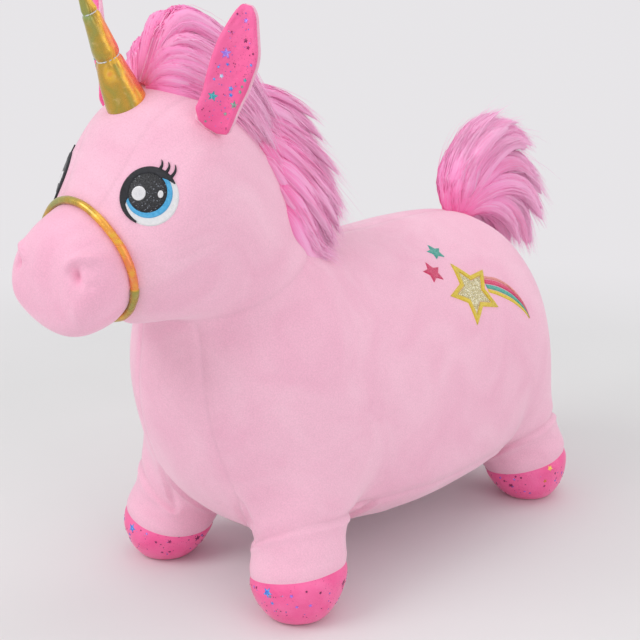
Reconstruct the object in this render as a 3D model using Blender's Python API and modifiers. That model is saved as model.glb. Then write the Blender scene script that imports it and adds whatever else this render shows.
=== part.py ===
"""Hopping unicorn: an inflatable bladder under a sewn plush cover, on four hooves.

Metres, +Z up. The animal faces -Y and its left flank is +X. The origin is on the floor,
under the middle of the whole toy.
"""
import math

import bmesh
import bpy
import numpy as np
from mathutils import Matrix, Vector
from mathutils.bvhtree import BVHTree

# Trunk and head, measured over the cage that the smooth form is drawn from
TRUNK_LENGTH = 0.440
TRUNK_WIDTH = 0.255
BACK_HEIGHT = 0.2933
TRUNK_SET_BACK = 0.0131
HEAD_LENGTH = 0.176
HEAD_HEIGHT = 0.188
HEAD_WIDTH = 0.180
NECK_AHEAD = 0.158
NECK_HEIGHT = 0.2465

# Legs
HOOF_SPACING = 0.1655
FRONT_HOOF_AHEAD = 0.155
REAR_HOOF_BEHIND = 0.174
HOOF_DIAMETER = 0.0915
HOOF_RIM_HEIGHT = 0.037
ANKLE_DIAMETER = 0.080
ANKLE_HEIGHT = 0.0704
LEG_SPLAY = 0.0125
SOLE_DEPTH = 0.0035

# Cloth, wall and clearances
PLUSH = 0.0024
BLADDER_WALL = 0.0020
GAP = 0.0003
PATCH_LIFT = 0.0010
PATCH_THICKNESS = 0.0008
CUT_OVERRUN = 0.010

# Noseband
NOSEBAND_DIAMETER = 0.0070
NOSEBAND_LIFT = 0.0046

# Horn, its foot's place measured from the neck's middle
HORN_LENGTH = 0.108
HORN_BASE_DIAMETER = 0.030
HORN_TIP_DIAMETER = 0.005
HORN_CLOTH = 0.0012
HORN_ROOT_DEPTH = 0.004
HORN_LEAN = math.radians(24)
HORN_FOOT_AHEAD = 0.0861
HORN_FOOT_RISE = 0.1660
HORN_THREAD_DIAMETER = 0.0012
HORN_THREAD_SHARES = (0.31, 0.62, 0.84)

# Ears, measured from the neck's middle
EAR_LENGTH = 0.090
EAR_WIDTH = 0.0315
EAR_CUP = 0.0060
EAR_BACK = 0.0020
EAR_FOAM = 0.0020
EAR_LINING = 0.0010
EAR_STEM_DIAMETER = 0.0060
EAR_STEM_LENGTH = 0.026
EAR_OUT = 0.0595
EAR_AHEAD = 0.0537
EAR_TURN = math.radians(33)
EAR_FLARE = math.radians(15)
EAR_NOD = math.radians(4)
EAR_SLANT = math.radians(35)
EAR_LAYER_GAP = 0.0006
EAR_CLEARANCE = 0.0009

# Fur
MANE_WIDTH = 0.084
MANE_DEPTH = 0.046
FORELOCK_WIDTH = 0.068
FORELOCK_LENGTH = 0.056
FORELOCK_HEIGHT = 0.040
TAIL_WIDTH = 0.052
TAIL_REACH = 0.150
TAIL_RISE = 0.050
TAIL_GIRTH = 0.076
TAIL_ROOT_BEHIND = 0.146
TAIL_ROOT_LIFT = 0.0008

# Valve under the cover's zip
VALVE_BORE = 0.0110
VALVE_STEM = 0.0098
VALVE_FLANGE = 0.0150
VALVE_FLANGE_THICKNESS = 0.0010
VALVE_STEM_LENGTH = 0.012

# Zip
ZIP_LENGTH = 0.120
ZIP_BEHIND = 0.018
ZIP_SLOT = 0.0200
ZIP_CHAIN_WIDTH = 0.0040
ZIP_CHAIN_THICKNESS = 0.0016
ZIP_TAPE_THICKNESS = 0.0008
SLIDER_LENGTH = 0.0110
SLIDER_WIDTH = 0.0078
SLIDER_THICKNESS = 0.0018
CHEEK_THICKNESS = 0.0013
CHEEK_SPAN = 0.0044
BAR_DIAMETER = 0.0014
PULL_EYE_DIAMETER = 0.0038
PULL_EYE_BORE = 0.0020
PULL_WIDTH = 0.0036
PULL_THICKNESS = 0.0012
PULL_LENGTH = 0.0075

# Eyes, measured from the neck's middle
EYE_OUT = 0.0513
EYE_AHEAD = 0.1086
EYE_RISE = 0.1054
EYE_DIAMETER = 0.0390
IRIS_DIAMETER = 0.0345
PUPIL_DIAMETER = 0.0295
GLINT_DIAMETER = 0.0110
LASH_WIDTH = 0.0025
PATCH_GAP = 0.0006
EYE_AIM_SHARE = 2.77

# Flank motif, measured from the trunk's middle and the back
STAR_BEHIND = 0.0539
STAR_DROP = 0.0623
STAR_RADIUS = 0.0315
STAR_TURN = math.radians(-34)
STAR_BORDER_SHARE = 0.70
TRAIL_WIDTH = 0.0165
TRAIL_LENGTH = 0.048
TRAIL_DROP = 0.041
TEAL_STAR_RADIUS = 0.0115
MAGENTA_STAR_RADIUS = 0.0130

# Points around half a ring, from the back (0 degrees) to the belly (180). On the rings that
# a leg opens through, the point next to the belly's middle lies nearer to it. On the head,
# the forehead gusset ends at its own number of degrees.
RING_DEGREES = (0, 34, 68, 101, 128, 155, 180)
GUSSET_DEGREES = 24
LEG_RING_BELLY_DEGREES = {2: 160, 3: 167, 4: 166, 7: 166, 8: 163, 9: 152}

# Trunk rings from rump to throat: top (behind, up), bottom (behind, up), width and lower fullness.
# Places are shares of TRUNK_LENGTH and BACK_HEIGHT, widths of TRUNK_WIDTH.
TRUNK_RING_SHARES = (
    ((0.448, 0.700), (0.426, 0.414), 0.30, 1.00),
    ((0.434, 0.832), (0.429, 0.264), 0.57, 1.08),
    ((0.390, 0.932), (0.436, 0.152), 0.79, 1.12),
    ((0.318, 0.982), (0.380, 0.112), 0.92, 1.15),
    ((0.216, 0.992), (0.276, 0.084), 0.97, 1.20),
    ((0.090, 0.984), (0.110, 0.080), 0.98, 1.24),
    ((-0.024, 0.982), (-0.070, 0.082), 0.97, 1.24),
    ((-0.100, 0.994), (-0.210, 0.096), 0.96, 1.15),
    ((-0.132, 1.002), (-0.344, 0.152), 0.94, 1.00),
    ((-0.154, 1.008), (-0.454, 0.305), 0.91, 0.97),
    ((-0.170, 1.011), (-0.507, 0.525), 0.84, 0.98),
    ((-0.182, 1.011), (-0.499, 0.738), 0.71, 0.97),
    ((-0.194, 1.020), (-0.494, 0.852), 0.60, 1.00),
)

# Head rings from neck to muzzle: top (ahead, up), bottom (ahead, up) and width.
# Places are shares of HEAD_LENGTH and HEAD_HEIGHT from the neck's middle, widths of HEAD_WIDTH.
HEAD_RING_SHARES = (
    ((-0.340, 0.467), (0.480, 0.005), 0.86),
    ((-0.190, 0.710), (0.520, 0.000), 0.88),
    ((0.020, 0.905), (0.545, 0.000), 0.92),
    ((0.286, 1.004), (0.565, 0.005), 0.94),
    ((0.520, 0.896), (0.585, 0.020), 0.86),
    ((0.668, 0.662), (0.608, 0.042), 0.69),
    ((0.782, 0.514), (0.645, 0.070), 0.54),
    ((0.862, 0.492), (0.715, 0.024), 0.575),
    ((0.930, 0.430), (0.850, 0.004), 0.565),
    ((0.960, 0.324), (0.926, 0.060), 0.43),
)

# Numbers of the rings where the bands that a leg opens through start
HIND_LEG_NUMBER = 2
FRONT_LEG_NUMBER = 7
NOSE_RING_FROM_END = 4
GUSSET_NUMBER = 14

# Leg rings from ankle to sole: splay, height, diameter, and tilts of the outer and inner half
LEG_RING_SHARES = (
    (1.0, "ankle", 0.95, 1.00, 3.20),
    (0.2, "rim", 1.00, 0.80, 0.80),
    (0.0, "rim", 0.85, 0.32, 0.32),
    (0.0, "sole", 0.48, 0.00, 0.00),
)
LOW_RIM_SHARE = 0.38
OUTER_TILT = 0.25
HIND_TILT = 0.28
LEG_RING_DEGREES = (135, 90, 45, 0, -45, -90, -135, 180)
INNER_LEG_FACES = (4, 5, 6)

PANELS = (
    "trunk_side", "chest_gusset", "belly_panel", "head_side", "forehead_gusset",
    "muzzle_cover", "front_sleeve", "front_hoof", "hind_sleeve", "hind_hoof",
)

# Colour, roughness and metallic value of each material
FINISHES = {
    "plush": ((0.90, 0.52, 0.64), 0.95, 0.0),
    "muzzle_plush": ((0.86, 0.46, 0.58), 0.95, 0.0),
    "foil_pink": ((0.83, 0.07, 0.22), 0.60, 0.0),
    "gold_foil": ((0.62, 0.42, 0.06), 0.28, 0.7),
    "vinyl": ((0.75, 0.75, 0.78), 0.40, 0.0),
    "fur": ((0.87, 0.18, 0.42), 0.90, 0.0),
    "foam": ((0.85, 0.85, 0.80), 0.95, 0.0),
    "stuffing": ((0.88, 0.88, 0.86), 0.95, 0.0),
    "thread": ((0.75, 0.75, 0.70), 0.80, 0.0),
    "zip_tape": ((0.80, 0.50, 0.60), 0.90, 0.0),
    "zip_plastic": ((0.78, 0.42, 0.55), 0.45, 0.0),
    "zip_metal": ((0.62, 0.62, 0.64), 0.35, 1.0),
    "white_thread": ((0.86, 0.88, 0.92), 0.70, 0.0),
    "blue_thread": ((0.10, 0.38, 0.68), 0.60, 0.0),
    "black_glitter": ((0.015, 0.017, 0.025), 0.50, 0.0),
    "gold_glitter": ((0.50, 0.40, 0.14), 0.45, 0.4),
    "yellow_thread": ((0.75, 0.50, 0.03), 0.60, 0.0),
    "teal_thread": ((0.07, 0.42, 0.36), 0.60, 0.0),
    "magenta_thread": ((0.58, 0.04, 0.14), 0.60, 0.0),
}


def clear_scene():
    for obj in list(bpy.data.objects):
        bpy.data.objects.remove(obj)


def new_collection(name):
    found = bpy.data.collections.new(name)
    bpy.context.scene.collection.children.link(found)
    return found


def finish(name):
    """The Principled BSDF material of this name, made once."""
    if name in bpy.data.materials:
        return bpy.data.materials[name]
    colour, roughness, metallic = FINISHES[name]
    made = bpy.data.materials.new(name)
    made.use_nodes = True
    shader = made.node_tree.nodes["Principled BSDF"]
    shader.inputs["Base Color"].default_value = (*colour, 1.0)
    shader.inputs["Roughness"].default_value = roughness
    shader.inputs["Metallic"].default_value = metallic
    return made


def add_object(name, mesh, material, origin=(0.0, 0.0, 0.0)):
    """A smooth-shaded object of this mesh, whose points are in world places, with its own origin."""
    mesh.transform(Matrix.Translation(-Vector(origin)))
    mesh.shade_smooth()
    obj = bpy.data.objects.new(name, mesh)
    obj.location = origin
    obj.data.materials.clear()
    own = finish(material).copy()
    own.name = name + "_finish"
    obj.data.materials.append(own)
    PARTS.objects.link(obj)
    return obj


def mesh_of(name, points, faces):
    mesh = bpy.data.meshes.new(name)
    mesh.from_pydata([tuple(p) for p in points], [], faces)
    return mesh


def baked(obj):
    """The evaluated mesh of an object, in world places."""
    bpy.context.view_layer.update()
    graph = bpy.context.evaluated_depsgraph_get()
    mesh = bpy.data.meshes.new_from_object(obj.evaluated_get(graph))
    mesh.transform(obj.matrix_world)
    return mesh


def make_cutter(name, mesh):
    obj = bpy.data.objects.new(name, mesh)
    obj.hide_render = True
    obj.display_type = "WIRE"
    CUTTERS.objects.link(obj)
    return obj


def cut(obj, cutter, operation="DIFFERENCE"):
    step = obj.modifiers.new(cutter.name, "BOOLEAN")
    step.operation = operation
    step.object = cutter
    step.solver = "EXACT"


def box_mesh(name, low, high):
    """A box between two corners."""
    bm = bmesh.new()
    bmesh.ops.create_cube(bm, size=1.0)
    size = Vector(high) - Vector(low)
    middle = (Vector(high) + Vector(low)) / 2
    bmesh.ops.scale(bm, vec=size, verts=bm.verts)
    bmesh.ops.translate(bm, vec=middle, verts=bm.verts)
    mesh = bpy.data.meshes.new(name)
    bm.to_mesh(mesh)
    bm.free()
    return mesh


def rod_mesh(name, start, end, diameter, sides=12):
    """A round rod between two points."""
    start, end = Vector(start), Vector(end)
    along = end - start
    turn = along.to_track_quat("Z", "Y").to_matrix().to_4x4()
    bm = bmesh.new()
    bmesh.ops.create_cone(
        bm, cap_ends=True, segments=sides, radius1=diameter / 2, radius2=diameter / 2,
        depth=along.length, matrix=Matrix.Translation((start + end) / 2) @ turn,
    )
    mesh = bpy.data.meshes.new(name)
    bm.to_mesh(mesh)
    bm.free()
    return mesh


def half_ring(top, bottom, half_width, fullness, number=None):
    """Seven points from the top of a ring down the animal's left to its bottom."""
    points = []
    for step, degrees in enumerate(RING_DEGREES):
        if step == len(RING_DEGREES) - 2:
            degrees = LEG_RING_BELLY_DEGREES.get(number, degrees)
        if step == 1 and number is None:
            degrees = GUSSET_DEGREES
        angle = math.radians(degrees)
        down = (1 - math.cos(angle)) / 2
        across = half_width * math.sin(angle)
        if degrees > 110:
            across *= fullness
        place = top.lerp(bottom, down)
        points.append(Vector((across, place.y, place.z)))
    return points


def trunk_place(behind, up):
    return Vector((0.0, TRUNK_SET_BACK + behind * TRUNK_LENGTH, up * BACK_HEIGHT))


def head_place(ahead, up):
    forward = NECK_AHEAD + ahead * HEAD_LENGTH
    return Vector((0.0, TRUNK_SET_BACK - forward, NECK_HEIGHT + up * HEAD_HEIGHT))


def neck_place(across, ahead, rise):
    """A place measured from the neck's middle."""
    return Vector((across, TRUNK_SET_BACK - NECK_AHEAD - ahead, NECK_HEIGHT + rise))


def all_half_rings():
    rings = []
    for number, (top, bottom, width, fullness) in enumerate(TRUNK_RING_SHARES):
        half = width * TRUNK_WIDTH / 2
        rings.append(half_ring(trunk_place(*top), trunk_place(*bottom), half, fullness, number))
    for top, bottom, width in HEAD_RING_SHARES:
        half = width * HEAD_WIDTH / 2
        rings.append(half_ring(head_place(*top), head_place(*bottom), half, 1.0))
    return rings


def leg_rings(hoof_y, direction, rear_tilt):
    """Eight-point rings of one leg from ankle to sole; direction is +1 on a hind leg, -1 in front."""
    heights = {"ankle": ANKLE_HEIGHT, "rim": HOOF_RIM_HEIGHT, "sole": -SOLE_DEPTH}
    rings = []
    for index, (splay, level, size, tilt, inner_tilt) in enumerate(LEG_RING_SHARES):
        radius = size * (ANKLE_DIAMETER if level == "ankle" else HOOF_DIAMETER) / 2
        height = heights[level] * (LOW_RIM_SHARE if index == 2 else 1.0)
        middle_x = HOOF_SPACING / 2 - splay * LEG_SPLAY
        middle_y = hoof_y - direction * splay * LEG_SPLAY
        ring = []
        for degrees in LEG_RING_DEGREES:
            angle = math.radians(degrees)
            out = radius * math.sin(angle)
            behind = -radius * math.cos(angle)
            rise = OUTER_TILT * out * (tilt if out > 0 else inner_tilt) + rear_tilt * behind * tilt
            ring.append(Vector((middle_x + out, middle_y + behind, height + rise)))
        rings.append(ring)
    return rings


def trunk_panel(band, cell):
    """The name of the cover panel that a cage cell of the trunk or head is sewn into."""
    if band >= NOSE_BAND:
        return "muzzle_cover"
    if band >= NECK_BAND:
        return "forehead_gusset" if cell == 0 and band >= GUSSET_NUMBER else "head_side"
    under_legs = band in (HIND_LEG_NUMBER, HIND_LEG_NUMBER + 1, FRONT_LEG_NUMBER, FRONT_LEG_NUMBER + 1)
    if cell == 5:
        return "belly_panel" if band <= FRONT_LEG_NUMBER else "chest_gusset"
    if cell == 4 and not under_legs and band < FRONT_LEG_NUMBER:
        return "belly_panel"
    return "trunk_side"


def add_leg(bm, panel, loops, band, rings, kind):
    """Bridges the opening of four cage cells down to the sole."""
    before, middle, after = loops[band:band + 3]
    edge = [before[3], middle[3], after[3], after[4], after[5], middle[5], before[5], before[4]]
    bm.verts.remove(middle[4])
    names = (kind + "_sleeve", kind + "_sleeve", kind + "_hoof", kind + "_hoof")
    for index, ring in enumerate(rings):
        made = [bm.verts.new(p) for p in ring]
        for j in range(8):
            k = (j + 1) % 8
            face = bm.faces.new((edge[j], edge[k], made[k], made[j]))
            inner_side = j in INNER_LEG_FACES
            name = "trunk_side" if index == 0 and not inner_side else names[index]
            face[panel] = PANELS.index(name)
        edge = made
    centre = bm.verts.new(sum((v.co for v in edge), Vector()) / 8)
    for j in range(0, 8, 2):
        face = bm.faces.new((edge[j], edge[j + 1], edge[(j + 2) % 8], centre))
        face[panel] = PANELS.index(kind + "_hoof")


def close_end(bm, panel, loop, name):
    """Closes the first or last half ring towards the middle plane."""
    for corners in ((0, 1, 5, 6), (1, 2, 4, 5), (2, 3, 4)):
        face = bm.faces.new([loop[c] for c in corners])
        face[panel] = PANELS.index(name)


def form_guide():
    """The toy's smooth outer form: a coarse half cage, mirrored and subdivided once."""
    bm = bmesh.new()
    panel = bm.faces.layers.int.new("panel")
    loops = [[bm.verts.new(p) for p in ring] for ring in all_half_rings()]
    open_cells = set()
    for band in (HIND_LEG_NUMBER, HIND_LEG_NUMBER + 1, FRONT_LEG_NUMBER, FRONT_LEG_NUMBER + 1):
        open_cells |= {(band, 3), (band, 4)}
    for band in range(len(loops) - 1):
        for cell in range(6):
            if (band, cell) in open_cells:
                continue
            here, there = loops[band], loops[band + 1]
            face = bm.faces.new((here[cell], there[cell], there[cell + 1], here[cell + 1]))
            face[panel] = PANELS.index(trunk_panel(band, cell))
    close_end(bm, panel, loops[0], "trunk_side")
    close_end(bm, panel, loops[-1], "muzzle_cover")
    front = leg_rings(FRONT_HOOF_Y, -1, 0.0)
    hind = leg_rings(REAR_HOOF_Y, 1, HIND_TILT)
    add_leg(bm, panel, loops, HIND_LEG_NUMBER, hind, "hind")
    add_leg(bm, panel, loops, FRONT_LEG_NUMBER, front, "front")
    bmesh.ops.recalc_face_normals(bm, faces=bm.faces)
    mesh = bpy.data.meshes.new("form_guide")
    bm.to_mesh(mesh)
    bm.free()
    guide = make_cutter("form_guide", mesh)
    mirror = guide.modifiers.new("mirror", "MIRROR")
    mirror.merge_threshold = 0.0001
    mirror.use_clip = True
    smooth = guide.modifiers.new("smooth", "SUBSURF")
    smooth.levels = 1
    smooth.render_levels = 1
    return guide


class Form:
    """The form's points, outward normals, faces and panel numbers, flat under the soles."""

    def __init__(self, guide):
        mesh = baked(guide)
        count = len(mesh.vertices)
        points = np.empty(count * 3)
        normals = np.empty(count * 3)
        mesh.vertices.foreach_get("co", points)
        mesh.vertices.foreach_get("normal", normals)
        self.points = points.reshape(-1, 3)
        self.points[:, 2] = np.maximum(self.points[:, 2], 0.0)
        self.normals = normals.reshape(-1, 3)
        self.faces, self.panel = [], []
        panels = mesh.attributes["panel"].data
        for number, polygon in enumerate(mesh.polygons):
            for face in self.halves(tuple(polygon.vertices)):
                self.faces.append(face)
                self.panel.append(PANELS[panels[number].value])
        middles = [self.points[list(f)].mean(axis=0) for f in self.faces]
        self.middle = np.array(middles)
        self.tree = BVHTree.FromPolygons([Vector(p) for p in self.points], self.faces)

    def halves(self, corners):
        """A quad's two triangles along its shorter diagonal, so that all layers crease alike."""
        a, b, c, d = corners
        first = np.linalg.norm(self.points[a] - self.points[c])
        second = np.linalg.norm(self.points[b] - self.points[d])
        if first <= second:
            return (a, b, c), (a, c, d)
        return (b, c, d), (b, d, a)

    def pick(self, panel, side=0):
        """Numbers of a panel's faces, on one side of the animal (+1 left, -1 right) or both."""
        found = []
        for i, name in enumerate(self.panel):
            if name == panel and side * self.middle[i][0] >= 0:
                found.append(i)
        return found

    def hit(self, point, direction):
        """Where a ray meets the form: place and outward normal."""
        place, normal, _, _ = self.tree.ray_cast(Vector(point), Vector(direction).normalized())
        return place, normal


def rim_edges(faces):
    """Edges with one face, in that face's direction."""
    seen = {}
    for face in faces:
        for a, b in zip(face, face[1:] + face[:1]):
            seen[(a, b)] = True
    return [edge for edge in seen if (edge[1], edge[0]) not in seen]


def drawn_back(form, chosen, rim):
    """Outer points of a panel, with its rim drawn back from its neighbours by half a gap."""
    points = {v: Vector(form.points[v]) for face in chosen for v in face}
    after = {a: b for a, b in rim}
    before = {b: a for a, b in rim}
    inward = {v: Vector() for v in after}
    for face in chosen:
        middle = sum((Vector(form.points[v]) for v in face), Vector()) / len(face)
        for v in face:
            if v in inward:
                inward[v] += (middle - points[v]).normalized()
    moved = dict(points)
    for v, direction in inward.items():
        along = Vector(form.points[after[v]]) - Vector(form.points[before[v]])
        normal = Vector(form.normals[v])
        direction -= normal * direction.dot(normal)
        if along.length > 0:
            direction -= along * direction.dot(along) / along.length_squared
        if direction.length > 0:
            moved[v] = points[v] + direction.normalized() * GAP / 2
    return moved


def shell_mesh(name, form, numbers, outer_depth, inner_depth):
    """A closed shell between two depths under the form's faces."""
    chosen = [form.faces[i] for i in numbers]
    rim = rim_edges(chosen)
    top = drawn_back(form, chosen, rim)
    order = {v: i for i, v in enumerate(sorted(top))}
    count = len(order)
    points = []
    for depth in (outer_depth, inner_depth):
        points += [top[v] - Vector(form.normals[v]) * depth for v in sorted(top)]
    faces = [tuple(order[v] for v in face) for face in chosen]
    faces += [tuple(order[v] + count for v in reversed(face)) for face in chosen]
    for a, b in rim:
        out_a, out_b = order[a], order[b]
        in_a, in_b = out_a + count, out_b + count
        # Both panels of a seam split its twisted edge strip along the same diagonal
        if a < b:
            faces += [(out_b, out_a, in_b), (out_a, in_a, in_b)]
        else:
            faces += [(out_b, out_a, in_a), (out_b, in_a, in_b)]
    return mesh_of(name, points, faces)


def cover_panels(form):
    for side, word in ((1, "left"), (-1, "right")):
        for panel in ("trunk_side", "belly_panel", "head_side"):
            mesh = shell_mesh(panel, form, form.pick(panel, side), 0.0, PLUSH)
            add_object(f"{panel}_{word}", mesh, "plush")
        for kind in ("front", "hind"):
            sleeve = shell_mesh("sleeve", form, form.pick(kind + "_sleeve", side), 0.0, PLUSH)
            add_object(f"leg_sleeve_{kind}_{word}", sleeve, "plush")
            hoof = shell_mesh("hoof", form, form.pick(kind + "_hoof", side), 0.0, PLUSH)
            add_object(f"hoof_cover_{kind}_{word}", hoof, "foil_pink")
    for panel, material in (
        ("chest_gusset", "plush"), ("forehead_gusset", "plush"), ("muzzle_cover", "muzzle_plush"),
    ):
        add_object(panel, shell_mesh(panel, form, form.pick(panel), 0.0, PLUSH), material)


def bladder(form):
    """The inflated vinyl body inside the cover, open at its valve."""
    every = range(len(form.faces))
    outside = PLUSH + GAP
    mesh = shell_mesh("bladder", form, every, outside, outside + BLADDER_WALL)
    obj = add_object("bladder", mesh, "vinyl")
    bore = rod_mesh(
        "valve_bore",
        (0, ZIP_Y, BELLY_Z - CUT_OVERRUN), (0, ZIP_Y, BELLY_Z + 2 * CUT_OVERRUN), VALVE_BORE,
    )
    cut(obj, make_cutter("valve_bore", bore))


def turned(name, profile, material, place, axis, steps=16, merge=True):
    """A turned piece: a profile of (radius, along) points, run down its outer side, about an axis."""
    mesh = bpy.data.meshes.new(name)
    points = [(radius, 0.0, along) for radius, along in profile]
    edges = [(i, i + 1) for i in range(len(points) - 1)]
    if not merge:
        edges.append((len(points) - 1, 0))
    mesh.from_pydata(points, edges, [])
    guide = bpy.data.objects.new(name + "_profile", mesh)
    bpy.context.scene.collection.objects.link(guide)
    spin = guide.modifiers.new("turn", "SCREW")
    spin.steps = steps
    spin.render_steps = steps
    spin.use_merge_vertices = True
    spin.merge_threshold = 0.00005
    turned_mesh = baked(guide)
    bpy.data.objects.remove(guide)
    turn = Vector(axis).to_track_quat("Z", "Y").to_matrix().to_4x4()
    turned_mesh.transform(Matrix.Translation(place) @ turn)
    return add_object(name, turned_mesh, material, place)


def valve_plug():
    """Plug pressed up into the bladder's valve, its flange under the wall."""
    wall = BELLY_Z + PLUSH + GAP
    top = VALVE_STEM_LENGTH
    stem, flange = VALVE_STEM / 2, VALVE_FLANGE / 2
    under = -2 * GAP
    profile = (
        (0.0, top), (stem * 0.8, top), (stem, top * 0.8), (stem, under), (flange, under),
        (flange, under - VALVE_FLANGE_THICKNESS), (0.0, under - VALVE_FLANGE_THICKNESS),
    )
    turned("valve_plug", profile, "vinyl", (0, ZIP_Y, wall), (0, 0, 1), 12)


def skin_cutter(form):
    """The whole form grown by the clearance: it trims what is sewn onto the skin."""
    points = form.points + form.normals * GAP
    return make_cutter("skin_cutter", mesh_of("skin_cutter", points, form.faces))


def horn(skin):
    """A cloth cone over stuffing, tied into segments by three rings of thread."""
    axis = Vector((0.0, -math.sin(HORN_LEAN), math.cos(HORN_LEAN)))
    foot = neck_place(0.0, HORN_FOOT_AHEAD, HORN_FOOT_RISE)
    base, tip = HORN_BASE_DIAMETER / 2, HORN_TIP_DIAMETER / 2

    def radius(share):
        return base + (tip - base) * share

    outer = [(radius(1.0), HORN_LENGTH)]
    stops = (0.0, *HORN_THREAD_SHARES, 1.0)
    for low, high in reversed(list(zip(stops, stops[1:]))):
        middle = (low + high) / 2
        outer.append((radius(middle) + HORN_CLOTH / 2, middle * HORN_LENGTH))
        outer.append((radius(low), low * HORN_LENGTH))
    outer.append((radius(0.0), -HORN_ROOT_DEPTH))
    inner = [(r - HORN_CLOTH, along) for r, along in reversed(outer[1:])]
    crown = [(0.0, HORN_LENGTH - HORN_CLOTH), (0.0, HORN_LENGTH)]
    cover = turned("horn_cover", crown[1:] + outer + inner + crown[:1], "gold_foil", foot, axis, 14)
    cut(cover, skin)
    filling = [(r - GAP, along) for r, along in reversed(inner)]
    filling = [(0.0, HORN_LENGTH - 2 * HORN_CLOTH)] + filling[:-1] + [(filling[-1][0], -HORN_ROOT_DEPTH)]
    filling.append((0.0, -HORN_ROOT_DEPTH))
    stuffing = turned("horn_stuffing", filling, "stuffing", foot, axis, 14)
    cut(stuffing, skin)
    for index, share in enumerate(HORN_THREAD_SHARES):
        wire = HORN_THREAD_DIAMETER / 2
        ring = radius(share) + GAP + HORN_CLOTH / 2 + wire
        loop = []
        for corner in range(5):
            angle = math.tau * corner / 5
            along = share * HORN_LENGTH - wire * math.sin(angle)
            loop.append((ring + wire * math.cos(angle), along))
        turned(f"horn_thread_{index + 1}", loop, "thread", foot, axis, 12, merge=False)


def noseband(form):
    """Foil piping in the seam behind the muzzle."""
    muzzle = [form.faces[i] for i in form.pick("muzzle_cover")]
    after = dict(rim_edges(muzzle))
    start = max(after, key=lambda v: form.points[v][2])
    route, here = [], start
    while not route or here != start:
        route.append(Vector(form.points[here]) + Vector(form.normals[here]) * NOSEBAND_LIFT)
        here = after[here]
    curve = bpy.data.curves.new("noseband", "CURVE")
    curve.dimensions = "3D"
    curve.bevel_depth = NOSEBAND_DIAMETER / 2
    curve.bevel_resolution = 1
    spline = curve.splines.new("POLY")
    spline.points.add(len(route) - 1)
    for point, place in zip(spline.points, route):
        point.co = (*place, 1.0)
    spline.use_cyclic_u = True
    guide = bpy.data.objects.new("noseband_route", curve)
    bpy.context.scene.collection.objects.link(guide)
    mesh = baked(guide)
    bpy.data.objects.remove(guide)
    add_object("noseband", mesh, "gold_foil")


class Ear:
    """Axes of one ear: its root, a little above the skin, and its across, facing and up directions."""

    def __init__(self, form, side):
        above = neck_place(side * EAR_OUT, EAR_AHEAD, BACK_HEIGHT)
        skin, normal = form.hit(above, (0, 0, -1))
        turn = Matrix.Rotation(side * EAR_TURN, 3, "Z")
        flare = Matrix.Rotation(side * EAR_FLARE, 3, "Y")
        frame = turn @ flare @ Matrix.Rotation(EAR_NOD, 3, "X")
        self.across = frame @ Vector((side, 0, 0))
        self.facing = frame @ Vector((0, -1, 0))
        self.up = frame @ Vector((0, 0, 1))
        self.root = skin + normal * (EAR_STEM_DIAMETER / 2 + EAR_CLEARANCE)
        self.axis = self.across * math.cos(EAR_SLANT) - self.up * math.sin(EAR_SLANT)
        self.side = side

    def place(self, across, up, depth):
        """A point of the cupped leaf, this far behind its lining's face."""
        half = EAR_WIDTH / 2
        forward = EAR_CUP * (across / half) ** 2
        slope = 2 * EAR_CUP * across / half ** 2
        normal = (self.facing - self.across * slope).normalized()
        middle = EAR_LINING + EAR_LAYER_GAP + EAR_FOAM / 2
        spot = self.root + self.across * across + self.up * up + self.facing * (forward + middle)
        return spot - normal * depth


# The leaf's outline: height up the ear and half width
EAR_OUTLINE_SHARES = (
    (0.00, 0.58), (0.10, 0.88), (0.22, 1.00), (0.48, 0.97), (0.70, 0.84), (0.88, 0.54),
    (1.00, 0.14),
)
EAR_COLUMN_SHARES = (-1.0, -0.4, 0.4, 1.0)


def closed_sheet(front, back, wide):
    """Points and faces of a closed slab between two grids that are this many points wide."""
    tall = len(front) // wide
    count = len(front)
    faces = []
    for row in range(tall - 1):
        for column in range(wide - 1):
            low = row * wide + column
            faces.append((low, low + 1, low + wide + 1, low + wide))
    faces += [tuple(v + count for v in reversed(face)) for face in faces]
    for a, b in rim_edges(faces[:len(faces) // 2]):
        faces.append((b, a, a + count, b + count))
    return front + back, faces


def ear_layer(name, ear, near, far, inset, material):
    """One leaf of an ear between two depths behind its face, drawn in from the outline."""
    front, back = [], []
    for rise, width in EAR_OUTLINE_SHARES:
        half = width * EAR_WIDTH / 2 - inset
        up = inset + rise * (EAR_LENGTH - 2 * inset)
        for column in EAR_COLUMN_SHARES:
            across = column * half
            lifted = up - across * math.tan(EAR_SLANT) * (1 - rise)
            front.append(ear.place(across, lifted, near))
            back.append(ear.place(across, lifted, far))
    points, faces = closed_sheet(front, back, len(EAR_COLUMN_SHARES))
    if ear.side < 0:
        faces = [tuple(reversed(face)) for face in faces]
    return add_object(name, mesh_of(name, points, faces), material, ear.root)


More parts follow.
